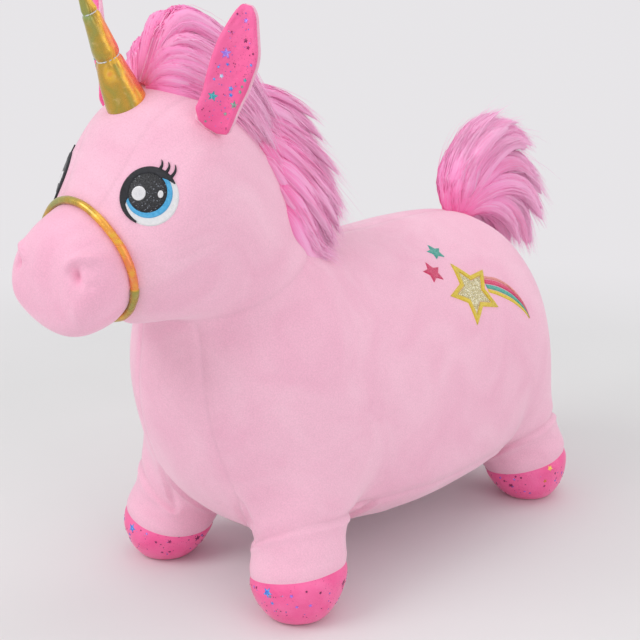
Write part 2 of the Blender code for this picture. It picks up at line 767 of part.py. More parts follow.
def ears(form):
    for side, word in ((1, "left"), (-1, "right")):
        ear = Ear(form, side)
        foam_depth = EAR_LINING + EAR_LAYER_GAP
        back_depth = foam_depth + EAR_FOAM + EAR_LAYER_GAP
        lining = ear_layer(f"ear_{word}_lining", ear, 0.0, EAR_LINING, 2 * GAP, "foil_pink")
        foam = ear_layer(f"ear_{word}_foam", ear, foam_depth, foam_depth + EAR_FOAM, 4 * GAP, "foam")
        back = ear_layer(f"ear_{word}_back", ear, back_depth, back_depth + EAR_BACK, 0.0, "plush")
        reach = ear.axis * EAR_STEM_LENGTH / 2
        stem = rod_mesh("ear_stem", ear.root - reach, ear.root + reach, EAR_STEM_DIAMETER)
        cut(back, make_cutter(f"ear_{word}_stem", stem), "UNION")
        past = reach + ear.axis * GAP
        room_mesh = rod_mesh("room", ear.root - past, ear.root + past, EAR_STEM_DIAMETER + 2 * GAP)
        room = make_cutter(f"ear_{word}_stem_room", room_mesh)
        cut(lining, room)
        cut(foam, room)
        print("ear", word, [tuple(round(c, 4) for c in v) for v in (ear.root, ear.axis, ear.up)])


def loft(name, rings):
    """A closed body through rings of equal point counts, closed with flat ends."""
    points = [p for ring in rings for p in ring]
    count = len(rings[0])
    faces = []
    for row in range(len(rings) - 1):
        for j in range(count):
            k = (j + 1) % count
            low, high = row * count, (row + 1) * count
            faces.append((low + j, low + k, high + k, high + j))
    faces.append(tuple(reversed(range(count))))
    last = (len(rings) - 1) * count
    faces.append(tuple(last + j for j in range(count)))
    mesh = mesh_of(name, points, faces)
    bm = bmesh.new()
    bm.from_mesh(mesh)
    bmesh.ops.recalc_face_normals(bm, faces=bm.faces)
    bm.to_mesh(mesh)
    bm.free()
    return mesh


def oval(middle, first, second, count=10):
    """Points of an oval about a middle, along two half axes."""
    ring = []
    for i in range(count):
        angle = math.tau * i / count
        ring.append(middle + first * math.cos(angle) + second * math.sin(angle))
    return ring


# Stations down the neck from the crown: share of the way, width and depth shares
MANE_STATION_SHARES = (
    (0.00, 0.72, 0.80), (0.16, 0.85, 0.92), (0.34, 0.95, 1.00), (0.54, 1.00, 1.00),
    (0.74, 0.95, 0.86), (0.90, 0.76, 0.62), (1.00, 0.46, 0.36),
)
MANE_FOOT_SHARE = -0.145


def mane(form, skin):
    """Fur bulk down the back of the neck, from between the ears to the withers."""
    middle = head_place(0.15, 0.35)
    top = head_place(0.0, 1.0) - middle
    low = trunk_place(MANE_FOOT_SHARE, 1.0) - middle
    start = math.atan2(top.y, top.z)
    end = math.atan2(low.y, low.z)
    rings = []
    for share, width, depth in MANE_STATION_SHARES:
        angle = start + (end - start) * share
        outward = Vector((0.0, math.sin(angle), math.cos(angle)))
        place, _ = form.hit(middle, outward)
        reach = outward * MANE_DEPTH * depth
        across = Vector((MANE_WIDTH / 2 * width, 0.0, 0.0))
        rings.append(oval(place + reach * 0.35, across, reach * 0.65))
    obj = add_object("mane_fur", loft("mane_fur", rings), "fur")
    cut(obj, skin)


FORELOCK_STATION_SHARES = (
    (-1.00, 0.38, 0.55), (-0.70, 0.62, 0.86), (-0.25, 0.88, 1.00), (0.30, 1.00, 1.00),
    (1.00, 0.96, 0.92),
)
FORELOCK_MIDDLE_SHARE = 0.222


def forelock(form, skin):
    """Fur bulk combed back over the crown from behind the horn."""
    rings = []
    middle = head_place(FORELOCK_MIDDLE_SHARE, 0.0)
    for share, width, height in FORELOCK_STATION_SHARES:
        y = middle.y + share * FORELOCK_LENGTH / 2
        place, _ = form.hit((0.0, y, BACK_HEIGHT * 2), (0, 0, -1))
        across = Vector((FORELOCK_WIDTH / 2 * width, 0.0, 0.0))
        rise = Vector((0.0, 0.0, FORELOCK_HEIGHT * height))
        rings.append(oval(place, across, rise))
    obj = add_object("forelock_fur", loft("forelock_fur", rings), "fur")
    cut(obj, skin)
    return obj


# The tail's arc from its root: behind, up and thickness shares
TAIL_STATION_SHARES = (
    (0.00, 0.02, 0.09), (0.08, 0.42, 0.50), (0.24, 0.82, 0.86), (0.46, 1.00, 1.00),
    (0.68, 0.78, 0.92), (0.86, 0.24, 0.64), (0.97, -0.42, 0.20),
)


def tail(form):
    """Fur bulk that stands up from the rump and arches back."""
    y = TRUNK_SET_BACK + TAIL_ROOT_BEHIND
    root, normal = form.hit((0.0, y, BACK_HEIGHT * 2), (0, 0, -1))
    root = root + Vector((0.0, 0.0, TAIL_ROOT_LIFT))
    spine = [
        root + Vector((0.0, behind * TAIL_REACH, up * TAIL_RISE))
        for behind, up, _ in TAIL_STATION_SHARES
    ]
    rings = []
    for i, (_, _, size) in enumerate(TAIL_STATION_SHARES):
        along = spine[min(i + 1, len(spine) - 1)] - spine[max(i - 1, 0)]
        side = Vector((1.0, 0.0, 0.0)).cross(along).normalized()
        across = Vector((TAIL_WIDTH / 2 * size, 0.0, 0.0))
        rings.append(oval(spine[i], across, side * TAIL_GIRTH / 2 * size))
    obj = add_object("tail_fur", loft("tail_fur", rings), "fur", root)
    print("tail root", tuple(round(c, 4) for c in root))
    return obj


def zip_parts(form):
    """The cover's closed zip along the belly, with its slider and pull."""
    low, high = ZIP_Y - ZIP_LENGTH / 2, ZIP_Y + ZIP_LENGTH / 2
    slot = box_mesh(
        "zip_slot", (-ZIP_SLOT / 2, low - GAP, -CUT_OVERRUN),
        (ZIP_SLOT / 2, high + GAP, BELLY_Z + 2 * CUT_OVERRUN),
    )
    slot_cutter = make_cutter("zip_slot", slot)
    for word in ("left", "right"):
        cut(bpy.data.objects[f"belly_panel_{word}"], slot_cutter)
    half_chain = ZIP_CHAIN_WIDTH / 2
    for side, word in ((1, "left"), (-1, "right")):
        near, far = side * (half_chain + GAP), side * (ZIP_SLOT / 2 - GAP)
        tape = box_mesh(
            "tape", (min(near, far), low, BELLY_Z), (max(near, far), high, BELLY_Z + ZIP_TAPE_THICKNESS)
        )
        add_object(f"zip_tape_{word}", tape, "zip_tape")
    chain_top = BELLY_Z + ZIP_TAPE_THICKNESS
    chain_low = chain_top - ZIP_CHAIN_THICKNESS
    chain = box_mesh("chain", (-half_chain, low, chain_low), (half_chain, high, chain_top))
    add_object("zip_chain", chain, "zip_plastic")
    slider_top = chain_low - GAP
    slider_low = slider_top - SLIDER_THICKNESS
    slider_y = low + SLIDER_LENGTH
    body = box_mesh(
        "slider", (-SLIDER_WIDTH / 2, slider_y - SLIDER_LENGTH / 2, slider_low),
        (SLIDER_WIDTH / 2, slider_y + SLIDER_LENGTH / 2, slider_top),
    )
    bar_z = slider_low - PULL_EYE_DIAMETER / 2 - GAP
    slider = add_object("zip_slider", body, "zip_metal")
    outer = CHEEK_SPAN / 2 + CHEEK_THICKNESS
    for side in (1, -1):
        near, far = side * CHEEK_SPAN / 2, side * outer
        cheek = box_mesh(
            "cheek", (min(near, far), slider_y - BAR_DIAMETER, bar_z - BAR_DIAMETER),
            (max(near, far), slider_y + BAR_DIAMETER, slider_top - SLIDER_THICKNESS / 2),
        )
        cut(slider, make_cutter(f"slider_cheek_{side}", cheek), "UNION")
    inside = CHEEK_SPAN / 2 + CHEEK_THICKNESS / 2
    bar = rod_mesh("bar", (-inside, slider_y, bar_z), (inside, slider_y, bar_z), BAR_DIAMETER)
    cut(slider, make_cutter("slider_bar", bar), "UNION")
    half_pull = PULL_WIDTH / 2
    eye = rod_mesh(
        "zip_pull", (-half_pull, slider_y, bar_z), (half_pull, slider_y, bar_z), PULL_EYE_DIAMETER
    )
    pull = add_object("zip_pull", eye, "zip_metal", (0, slider_y, bar_z))
    tab = box_mesh(
        "tab", (-half_pull * 0.98, slider_y - PULL_THICKNESS / 2, bar_z - PULL_LENGTH),
        (half_pull * 0.98, slider_y + PULL_THICKNESS / 2, bar_z - PULL_EYE_BORE / 2 - GAP),
    )
    cut(pull, make_cutter("pull_tab", tab), "UNION")
    hole = rod_mesh("hole", (-PULL_WIDTH, slider_y, bar_z), (PULL_WIDTH, slider_y, bar_z), PULL_EYE_BORE)
    cut(pull, make_cutter("pull_eye", hole))
    print("zip pull axis", (0, round(slider_y, 4), round(bar_z, 4)), "slider travel to", round(high, 4))


class Surface:
    """A patch of the form seen flat: a middle, its normal, and axes to the right and up."""

    def __init__(self, form, start, direction):
        self.form = form
        self.middle, self.normal = form.hit(start, direction)
        self.out = self.normal * CUT_OVERRUN * 4
        right = Vector((0, 0, 1)).cross(self.normal).normalized()
        self.right = right
        self.up = self.normal.cross(right)

    def place(self, u, v):
        start = self.middle + self.right * u + self.up * v + self.out
        found, normal = self.form.hit(start, -self.normal)
        return found + normal * PATCH_LIFT


def patch(name, surface, outlines, material, filled):
    """A thin embroidered piece on the skin: quads between outlines, and a fan inside the last."""
    points, faces = [], []
    count = len(outlines[0])
    for outline in outlines:
        points += [surface.place(u, v) for u, v in outline]
    for row in range(len(outlines) - 1):
        for j in range(count):
            k = (j + 1) % count
            low, high = row * count, (row + 1) * count
            faces.append((low + j, low + k, high + k, high + j))
    if filled:
        last = (len(outlines) - 1) * count
        middle_u = sum(u for u, _ in outlines[-1]) / count
        middle_v = sum(v for _, v in outlines[-1]) / count
        points.append(surface.place(middle_u, middle_v))
        faces += [(last + j, last + (j + 1) % count, len(points) - 1) for j in range(count)]
    obj = add_object(name, mesh_of(name, points, faces), material)
    thick = obj.modifiers.new("thickness", "SOLIDIFY")
    thick.thickness = PATCH_THICKNESS
    thick.offset = 1.0
    return obj


def circle(radius, count=16, middle=(0.0, 0.0)):
    angles = [math.tau * i / count for i in range(count)]
    return [(middle[0] + radius * math.cos(a), middle[1] + radius * math.sin(a)) for a in angles]


def star(radius, turn=0.0, split=2, middle=(0.0, 0.0), waist=0.46):
    """A five-pointed star outline, each side split so that it can follow a curved skin."""
    corners = []
    for i in range(10):
        reach = radius if i % 2 == 0 else radius * waist
        angle = turn + math.tau * i / 10
        corners.append(Vector((reach * math.sin(angle), reach * math.cos(angle))))
    outline = []
    for a, b in zip(corners, corners[1:] + corners[:1]):
        for step in range(split):
            spot = a.lerp(b, step / split)
            outline.append((middle[0] + spot.x, middle[1] + spot.y))
    outline.reverse()
    return outline


def eye(form, side, word):
    aim_at = neck_place(side * EYE_OUT, EYE_AHEAD, EYE_RISE)
    start = neck_place(side * EYE_OUT * 3, EYE_AHEAD + EYE_OUT * EYE_AIM_SHARE, EYE_RISE)
    aim = aim_at - start
    surface = Surface(form, start, aim)
    white, iris, pupil = EYE_DIAMETER / 2, IRIS_DIAMETER / 2, PUPIL_DIAMETER / 2
    inner = (-side * (white - iris) * 0.30, (white - iris) * 0.60)
    slack = (iris - pupil) * 0.42
    centre = (inner[0] - side * slack, inner[1] + slack)
    patch(
        f"eye_{word}_white", surface,
        [circle(white), circle(iris + PATCH_GAP, middle=inner)], "white_thread", False,
    )
    patch(
        f"eye_{word}_iris", surface,
        [circle(iris, middle=inner), circle(pupil + PATCH_GAP, middle=centre)], "blue_thread", False,
    )
    patch(
        f"eye_{word}_pupil", surface,
        [circle(pupil, middle=centre), circle(pupil / 2, middle=centre)], "black_glitter", True,
    )
    glint = GLINT_DIAMETER / 2
    spot = (centre[0] - side * pupil * 0.38, centre[1] - pupil * 0.10)
    raised = patch(f"eye_{word}_glint", surface, [circle(glint, 10, spot)], "white_thread", True)
    raised.data.transform(Matrix.Translation(surface.normal * (PATCH_THICKNESS + GAP)))
    lid(surface, side, word, white)


LASH_DEGREES = (52, 38, 24)


def lid(surface, side, word, white):
    """The dark upper lid line, with three lashes at its outer end."""
    outline_out, outline_in = [], []
    steps = 20
    for i in range(steps):
        degrees = 20 + 170 * i / (steps - 1)
        near = min(abs(degrees - lash) for lash in LASH_DEGREES)
        lash = LASH_WIDTH * 2.6 if near < 4 else 0.0
        body = LASH_WIDTH * (0.35 + 0.65 * math.sin(math.pi * i / (steps - 1)))
        angle = math.radians(degrees)
        if side > 0:
            across = math.cos(angle)
        else:
            across = -math.cos(angle)
        inside = white + PATCH_GAP
        outline_in.append((inside * across, inside * math.sin(angle)))
        outside = inside + body + lash
        outline_out.append((outside * across, outside * math.sin(angle)))
    points = [surface.place(u, v) for u, v in outline_out + outline_in]
    faces = [(i, i + 1, steps + i + 1, steps + i) for i in range(steps - 1)]
    if side < 0:
        faces = [tuple(reversed(face)) for face in faces]
    obj = add_object(f"eye_{word}_lid", mesh_of("lid", points, faces), "black_glitter")
    thick = obj.modifiers.new("thickness", "SOLIDIFY")
    thick.thickness = PATCH_THICKNESS
    thick.offset = 1.0


def motif(form, side, word):
    """Shooting star on the flank: a bordered glitter star, its trail and two small stars."""
    y = TRUNK_SET_BACK + STAR_BEHIND
    height = BACK_HEIGHT - STAR_DROP
    start = (side * TRUNK_WIDTH, y, height + STAR_RADIUS * 2)
    aim = Vector((side * TRUNK_WIDTH * 0.37, y, height)) - Vector(start)
    surface = Surface(form, start, aim)
    turn = STAR_TURN * side
    inner = STAR_RADIUS * STAR_BORDER_SHARE
    patch(
        f"star_border_{word}", surface, [star(STAR_RADIUS, turn), star(inner, turn)],
        "yellow_thread", False,
    )
    centre = inner - 2 * PATCH_GAP
    patch(
        f"star_glitter_{word}", surface, [star(centre, turn), star(centre / 2, turn)],
        "gold_glitter", True,
    )
    small = (
        ("teal", TEAL_STAR_RADIUS, (-side * STAR_RADIUS * 0.30, STAR_RADIUS * 1.44)),
        ("magenta", MAGENTA_STAR_RADIUS, (-side * STAR_RADIUS * 1.10, STAR_RADIUS * 0.88)),
    )
    for colour, radius, spot in small:
        patch(
            f"{colour}_star_{word}", surface, [star(radius, turn, 2, spot)],
            f"{colour}_thread", True,
        )
    trail(surface, side, word)


def trail(surface, side, word):
    """The trail behind the star: an arched band that narrows to a point."""
    steps, lanes = 7, 2
    points, faces = [], []
    for i in range(steps + 1):
        share = i / steps
        along = STAR_RADIUS * 0.62 + TRAIL_LENGTH * share
        fall = STAR_RADIUS * 0.26 - TRAIL_DROP * share * (0.35 + 0.65 * share)
        wide = TRAIL_WIDTH * (1 - 0.82 * share)
        for lane in range(lanes + 1):
            v = fall + wide * (lane / lanes - 0.5)
            points.append(surface.place(side * along, v))
    wide = lanes + 1
    for i in range(steps):
        for lane in range(lanes):
            low = i * wide + lane
            faces.append((low, low + wide, low + wide + 1, low + 1))
    if side < 0:
        faces = [tuple(reversed(face)) for face in faces]
    obj = add_object(f"star_trail_{word}", mesh_of("trail", points, faces), "magenta_thread")
    thick = obj.modifiers.new("thickness", "SOLIDIFY")
    thick.thickness = PATCH_THICKNESS
    thick.offset = 1.0


NECK_BAND = len(TRUNK_RING_SHARES) - 1
NOSE_BAND = len(TRUNK_RING_SHARES) + len(HEAD_RING_SHARES) - NOSE_RING_FROM_END
FRONT_HOOF_Y = TRUNK_SET_BACK - FRONT_HOOF_AHEAD
REAR_HOOF_Y = TRUNK_SET_BACK + REAR_HOOF_BEHIND
ZIP_Y = TRUNK_SET_BACK + ZIP_BEHIND

clear_scene()
PARTS = new_collection("hopping_unicorn")
CUTTERS = new_collection("cutters")
FORM = Form(form_guide())
BELLY_Z = FORM.hit((ZIP_SLOT / 4, ZIP_Y, 0.0), (0, 0, 1))[0].z
cover_panels(FORM)
bladder(FORM)
valve_plug()
SKIN = skin_cutter(FORM)
horn(SKIN)
noseband(FORM)
ears(FORM)
mane(FORM, SKIN)
forelock(FORM, SKIN)
tail(FORM)
zip_parts(FORM)
for flank, flank_word in ((1, "left"), (-1, "right")):
    eye(FORM, flank, flank_word)
    motif(FORM, flank, flank_word)
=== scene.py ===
import math

import bmesh
import bpy
import numpy as np
from mathutils import Matrix, Vector
from mathutils.bvhtree import BVHTree
from mathutils.kdtree import KDTree


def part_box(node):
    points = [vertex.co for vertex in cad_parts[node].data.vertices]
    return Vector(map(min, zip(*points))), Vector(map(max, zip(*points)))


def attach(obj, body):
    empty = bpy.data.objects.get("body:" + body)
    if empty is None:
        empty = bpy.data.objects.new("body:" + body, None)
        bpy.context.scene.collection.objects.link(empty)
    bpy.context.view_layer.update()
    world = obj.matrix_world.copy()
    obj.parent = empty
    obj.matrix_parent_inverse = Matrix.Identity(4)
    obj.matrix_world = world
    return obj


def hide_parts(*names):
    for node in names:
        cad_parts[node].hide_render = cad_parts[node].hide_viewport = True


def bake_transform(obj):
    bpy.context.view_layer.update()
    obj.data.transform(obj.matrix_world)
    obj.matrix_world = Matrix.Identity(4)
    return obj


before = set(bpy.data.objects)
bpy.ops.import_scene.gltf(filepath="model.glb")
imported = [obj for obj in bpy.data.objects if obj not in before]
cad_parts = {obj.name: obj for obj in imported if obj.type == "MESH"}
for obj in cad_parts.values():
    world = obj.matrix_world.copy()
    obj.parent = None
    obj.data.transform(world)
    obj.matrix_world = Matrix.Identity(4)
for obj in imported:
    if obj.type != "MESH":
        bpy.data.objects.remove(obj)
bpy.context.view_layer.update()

# Sizes of the part, the same as in its source, in metres
TRUNK_LENGTH = 0.440
TRUNK_WIDTH = 0.255
BACK_HEIGHT = 0.2933
TRUNK_SET_BACK = 0.0131
HEAD_LENGTH = 0.176
HEAD_HEIGHT = 0.188
HEAD_WIDTH = 0.180
NECK_AHEAD = 0.158
NECK_HEIGHT = 0.2465
HOOF_SPACING = 0.1655
FRONT_HOOF_AHEAD = 0.155
REAR_HOOF_BEHIND = 0.174
HOOF_DIAMETER = 0.0915
HOOF_RIM_HEIGHT = 0.037
ANKLE_DIAMETER = 0.080
ANKLE_HEIGHT = 0.0704
LEG_SPLAY = 0.0125
SOLE_DEPTH = 0.0035
HORN_LENGTH = 0.108
HORN_BASE_DIAMETER = 0.030
HORN_LEAN = math.radians(24)
HORN_FOOT_AHEAD = 0.0861
HORN_FOOT_RISE = 0.1660
HORN_THREAD_DIAMETER = 0.0012
HORN_THREAD_SHARES = (0.31, 0.62, 0.84)
EAR_LENGTH = 0.090
EAR_WIDTH = 0.0315
EAR_CUP = 0.0060
EAR_OUT = 0.0595
EAR_AHEAD = 0.0537
EAR_TURN = math.radians(33)
EAR_FLARE = math.radians(15)
EAR_NOD = math.radians(4)
EAR_ROOT_LIFT = 0.0039
TAIL_ROOT_BEHIND = 0.146
EYE_OUT = 0.0513
EYE_AHEAD = 0.1086
EYE_RISE = 0.1054
EYE_AIM_SHARE = 2.77
STAR_BEHIND = 0.0539
STAR_DROP = 0.0623
STAR_RADIUS = 0.0315
STAR_TURN = math.radians(-14)
TEAL_STAR_RADIUS = 0.0115
MAGENTA_STAR_RADIUS = 0.0130

RING_DEGREES = (0, 34, 68, 101, 128, 155, 180)
GUSSET_DEGREES = 24
LEG_RING_BELLY_DEGREES = {2: 160, 3: 167, 4: 166, 7: 166, 8: 163, 9: 152}
TRUNK_RING_SHARES = (
    ((0.448, 0.700), (0.426, 0.414), 0.30, 1.00),
    ((0.434, 0.832), (0.429, 0.264), 0.57, 1.08),
    ((0.390, 0.932), (0.436, 0.152), 0.79, 1.12),
    ((0.318, 0.982), (0.380, 0.112), 0.92, 1.15),
    ((0.216, 0.992), (0.276, 0.084), 0.97, 1.20),
    ((0.090, 0.984), (0.110, 0.080), 0.98, 1.24),
    ((-0.024, 0.982), (-0.070, 0.082), 0.97, 1.24),
    ((-0.100, 0.994), (-0.210, 0.096), 0.96, 1.15),
    ((-0.132, 1.002), (-0.344, 0.152), 0.94, 1.00),
    ((-0.154, 1.008), (-0.454, 0.305), 0.91, 0.97),
    ((-0.170, 1.011), (-0.507, 0.525), 0.84, 0.98),
    ((-0.182, 1.011), (-0.499, 0.738), 0.71, 0.97),
    ((-0.194, 1.020), (-0.494, 0.852), 0.60, 1.00),
)
HEAD_RING_SHARES = (
    ((-0.340, 0.467), (0.480, 0.005), 0.86),
    ((-0.190, 0.710), (0.520, 0.000), 0.88),
    ((0.020, 0.905), (0.545, 0.000), 0.92),
    ((0.286, 1.004), (0.565, 0.005), 0.94),
    ((0.520, 0.896), (0.585, 0.020), 0.86),
    ((0.668, 0.662), (0.608, 0.042), 0.69),
    ((0.782, 0.514), (0.645, 0.070), 0.54),
    ((0.862, 0.492), (0.715, 0.024), 0.575),
    ((0.930, 0.430), (0.850, 0.004), 0.565),
    ((0.960, 0.324), (0.926, 0.060), 0.43),
)
HIND_LEG_NUMBER = 2
FRONT_LEG_NUMBER = 7
NOSE_RING_FROM_END = 4
GUSSET_NUMBER = 14
LEG_RING_SHARES = (
    (1.0, "ankle", 0.95, 1.00, 3.20),
    (0.2, "rim", 1.00, 0.80, 0.80),
    (0.0, "rim", 0.85, 0.32, 0.32),
    (0.0, "sole", 0.48, 0.00, 0.00),
)
LOW_RIM_SHARE = 0.38
OUTER_TILT = 0.25
HIND_TILT = 0.28
LEG_RING_DEGREES = (135, 90, 45, 0, -45, -90, -135, 180)
INNER_LEG_FACES = (4, 5, 6)
PANELS = (
    "trunk_side", "chest_gusset", "belly_panel", "head_side", "forehead_gusset",
    "muzzle_cover", "front_sleeve", "front_hoof", "hind_sleeve", "hind_hoof",
)
SIDED = ("trunk_side", "belly_panel", "head_side", "front_sleeve", "front_hoof", "hind_sleeve", "hind_hoof")
SIDES = ((1, "left"), (-1, "right"))
NECK_BAND = len(TRUNK_RING_SHARES) - 1
NOSE_BAND = len(TRUNK_RING_SHARES) + len(HEAD_RING_SHARES) - NOSE_RING_FROM_END
FRONT_HOOF_Y = TRUNK_SET_BACK - FRONT_HOOF_AHEAD
REAR_HOOF_Y = TRUNK_SET_BACK + REAR_HOOF_BEHIND

# The dressed cover: its seams' grooves and puckers, plain, round the hooves and on the forehead gusset
SMOOTH_LEVELS = 4
CLOTH_THICKNESS = 0.0016
SEAM_WIDTH = 0.0038
SEAM_DEPTH, HOOF_SEAM_DEPTH, GUSSET_SEAM_DEPTH = 0.0009, 0.0011, 0.0005
PUCKER_HEIGHT, HOOF_PUCKER_HEIGHT, GUSSET_PUCKER_HEIGHT = 0.0006, 0.00035, 0.00025
PUCKER_REACH = 0.009
SWELL_HEIGHT, SMALL_SWELL_HEIGHT = 0.0004, 0.0001
# The cloth's unevenness: height and size of its wide swells, its dents and the folds of the legs
WIDE_HEIGHT, WIDE_SIZE = 0.0009, 0.075
DENT_HEIGHT, DENT_SIZE = 0.00035, 0.026
LEG_FOLD_HEIGHT, LEG_FOLD_SIZE, LEG_FOLD_TOP = 0.0009, 0.024, 0.115
ANKLE_FOLD_HEIGHT, ANKLE_FOLD_SINK = 0.0022, 0.0011


# Node materials

FUR_ROOT = (1.0, 0.200, 0.500)
FUR_MIDDLE = (1.0, 0.385, 0.700)
FUR_TIP = (1.0, 0.640, 0.850)
STITCH_PITCH = 0.00045


class Nodes:
    """A node tree, with short ways to add and join nodes."""

    def __init__(self, tree):
        self.tree = tree
        self.count = 0

    def add(self, kind, inputs=None, **settings):
        node = self.tree.nodes.new("ShaderNode" + kind)
        node.location = (-1400 + 220 * (self.count % 6), 500 - 240 * (self.count // 6))
        self.count += 1
        for key, value in settings.items():
            setattr(node, key, value)
        for key, value in (inputs or {}).items():
            socket = node.inputs[key]
            if isinstance(value, bpy.types.NodeSocket):
                self.tree.links.new(value, socket)
            else:
                socket.default_value = value
        return node

    def place(self):
        return self.add("TexCoord").outputs["Object"]

    def attribute(self, name):
        return self.add("Attribute", attribute_name=name).outputs["Fac"]

    def noise(self, scale, detail=3.0, rough=0.5, warp=0.0, vector=None):
        vector = vector or self.place()
        inputs = {"Vector": vector, "Scale": scale, "Detail": detail, "Roughness": rough, "Distortion": warp}
        return self.add("TexNoise", inputs).outputs["Fac"]

    def cells(self, scale):
        return self.add("TexVoronoi", {"Vector": self.place(), "Scale": scale}).outputs

    def math(self, operation, a, b=0.0):
        return self.add("Math", {0: a, 1: b}, operation=operation).outputs[0]

    def range(self, value, low, high, to_low=0.0, to_high=1.0):
        inputs = {"Value": value, "From Min": low, "From Max": high, "To Min": to_low, "To Max": to_high}
        return self.add("MapRange", inputs).outputs["Result"]

    def ramp(self, value, stops):
        node = self.add("ValToRGB", {"Fac": value})
        elements = node.color_ramp.elements
        while len(elements) < len(stops):
            elements.new(0.5)
        for element, (position, colour) in zip(elements, stops):
            element.position = position
            element.color = (*colour, 1.0)
        return node.outputs["Color"]

    def mix(self, factor, a, b, blend="MIX"):
        node = self.add("Mix", data_type="RGBA", blend_type=blend)
        for key, value in ((0, factor), (6, a), (7, b)):
            if isinstance(value, bpy.types.NodeSocket):
                self.tree.links.new(value, node.inputs[key])
            elif key:
                node.inputs[key].default_value = (*value, 1.0)
            else:
                node.inputs[key].default_value = value
        return node.outputs[2]

    def darkened(self, tone, share):
        grey = self.add("CombineColor", {0: share, 1: share, 2: share}).outputs[0]
        return self.mix(1.0, tone, grey, "MULTIPLY")

    def seen_straight(self):
        """1 for rays that show the backdrop itself: from the camera, in gloss and through glass."""
        path = self.add("LightPath").outputs
        seen = self.math("MAXIMUM", path["Is Camera Ray"], path["Is Glossy Ray"])
        return self.math("MAXIMUM", seen, path["Is Transmission Ray"])


class Shade(Nodes):
    """A material's nodes around its principled shader."""

    def __init__(self, name, **values):
        self.material = bpy.data.materials.new(name)
        self.material.use_nodes = True
        super().__init__(self.material.node_tree)
        self.shader = self.tree.nodes["Principled BSDF"]
        for socket, value in values.items():
            self.shader.inputs[socket.replace("_", " ")].default_value = value

    def colour(self, socket):
        self.tree.links.new(socket, self.shader.inputs["Base Color"])

    def rough(self, socket):
        self.tree.links.new(socket, self.shader.inputs["Roughness"])

    def bump(self, *layers):
        """Bumps of (height, depth in metres, strength), one on top of another."""
        normal = None
        for height, depth, strength in layers:
            inputs = {"Height": height, "Distance": depth, "Strength": strength}
            if normal:
                inputs["Normal"] = normal
            normal = self.add("Bump", inputs).outputs["Normal"]
        self.tree.links.new(normal, self.shader.inputs["Normal"])


def velour(name, base, light, dark):
    """Short-pile velour: brushed patches, fine pile and a sunken seam line, with painted shade along it."""
    s = Shade(
        name, Roughness=0.88, Sheen_Weight=0.60, Sheen_Roughness=0.42, Sheen_Tint=(1.0, 0.91, 0.95, 1.0),
        Specular_IOR_Level=0.22,
    )
    patches = s.noise(15.0, 3.0, 0.55, 1.2)
    tone = s.ramp(patches, ((0.30, dark), (0.50, base), (0.72, light)))
    pile = s.noise(900.0, 2.0, 0.6)
    tone = s.darkened(tone, s.range(pile, 0.30, 0.70, 0.93, 1.05))
    seam = s.attribute("seam")
    # Painted shade: the colour darkens towards each seam, in its groove
    s.colour(s.darkened(tone, s.range(seam, 0.0, 0.0030, 0.955, 1.0)))
    groove = s.range(seam, 0.0, 0.0022)
    brushed = s.noise(140.0, 3.0, 0.6, 0.6)
    s.bump((groove, 0.0004, 0.3), (brushed, 0.0012, 0.30), (pile, 0.0004, 0.32))
    return s.material


def foil_pink():
    """Hot pink coated fabric with fine pressed dots and pale specks."""
    s = Shade("foil_pink", Roughness=0.52, Sheen_Weight=0.25, Sheen_Roughness=0.4, Specular_IOR_Level=0.4)
    patches = s.noise(26.0, 3.0, 0.55, 0.8)
    tone = s.ramp(patches, ((0.30, (0.92, 0.105, 0.330)), (0.52, (0.98, 0.150, 0.395)), (0.75, (1.0, 0.200, 0.450))))
    dots = s.range(s.cells(620.0)["Distance"], 0.16, 0.24, 1.0, 0.0)
    dots = s.math("MULTIPLY", dots, s.range(s.noise(70.0, 2.0), 0.46, 0.60))
    tone = s.mix(dots, tone, (0.66, 0.070, 0.22))
    specks = s.range(s.noise(900.0, 2.0, 0.7), 0.58, 0.72)
    specks = s.math("MULTIPLY", specks, s.range(s.noise(60.0, 2.0), 0.40, 0.60))
    s.colour(s.mix(s.math("MULTIPLY", specks, 0.35), tone, (1.0, 0.42, 0.66)))
    s.rough(s.range(patches, 0.2, 0.8, 0.62, 0.44))
    groove = s.range(s.attribute("seam"), 0.0, 0.0012)
    pores = s.range(s.cells(380.0)["Distance"], 0.10, 0.45)
    weave = s.noise(1500.0, 2.0, 0.6)
    s.bump((groove, 0.0005, 0.5), (pores, 0.0004, 0.35), (dots, 0.0003, 0.35), (weave, 0.0002, 0.35))
    return s.material


def gold_foil():
    """Iridescent gold coated cloth, from mint and olive over gold to orange as its hue attribute says."""
    s = Shade("gold_foil", Roughness=0.28, Metallic=0.45, Coat_Weight=0.40, Coat_Roughness=0.10)
    wide = s.noise(55.0, 2.0, 0.5, 0.8)
    hue = s.math("ADD", s.attribute("hue"), s.range(wide, 0.25, 0.75, -0.17, 0.17))
    tone = s.ramp(hue, (
        (0.02, (0.28, 0.60, 0.40)), (0.14, (0.31, 0.35, 0.09)), (0.32, (0.43, 0.32, 0.038)),
        (0.46, (0.58, 0.33, 0.032)), (0.60, (0.86, 0.50, 0.04)), (0.74, (0.88, 0.27, 0.06)), (0.97, (0.84, 0.20, 0.15)),
    ))
    fine = s.noise(190.0, 2.0, 0.5, 0.6)
    tone = s.mix(s.range(fine, 0.60, 0.76, 0.0, 0.35), tone, (0.92, 0.66, 0.30))
    s.colour(tone)
    s.rough(s.range(fine, 0.3, 0.7, 0.20, 0.38))
    s.bump((s.noise(60.0, 2.0), 0.0012, 0.30), (fine, 0.0005, 0.30), (s.cells(900.0)["Distance"], 0.0002, 0.25))
    return s.material


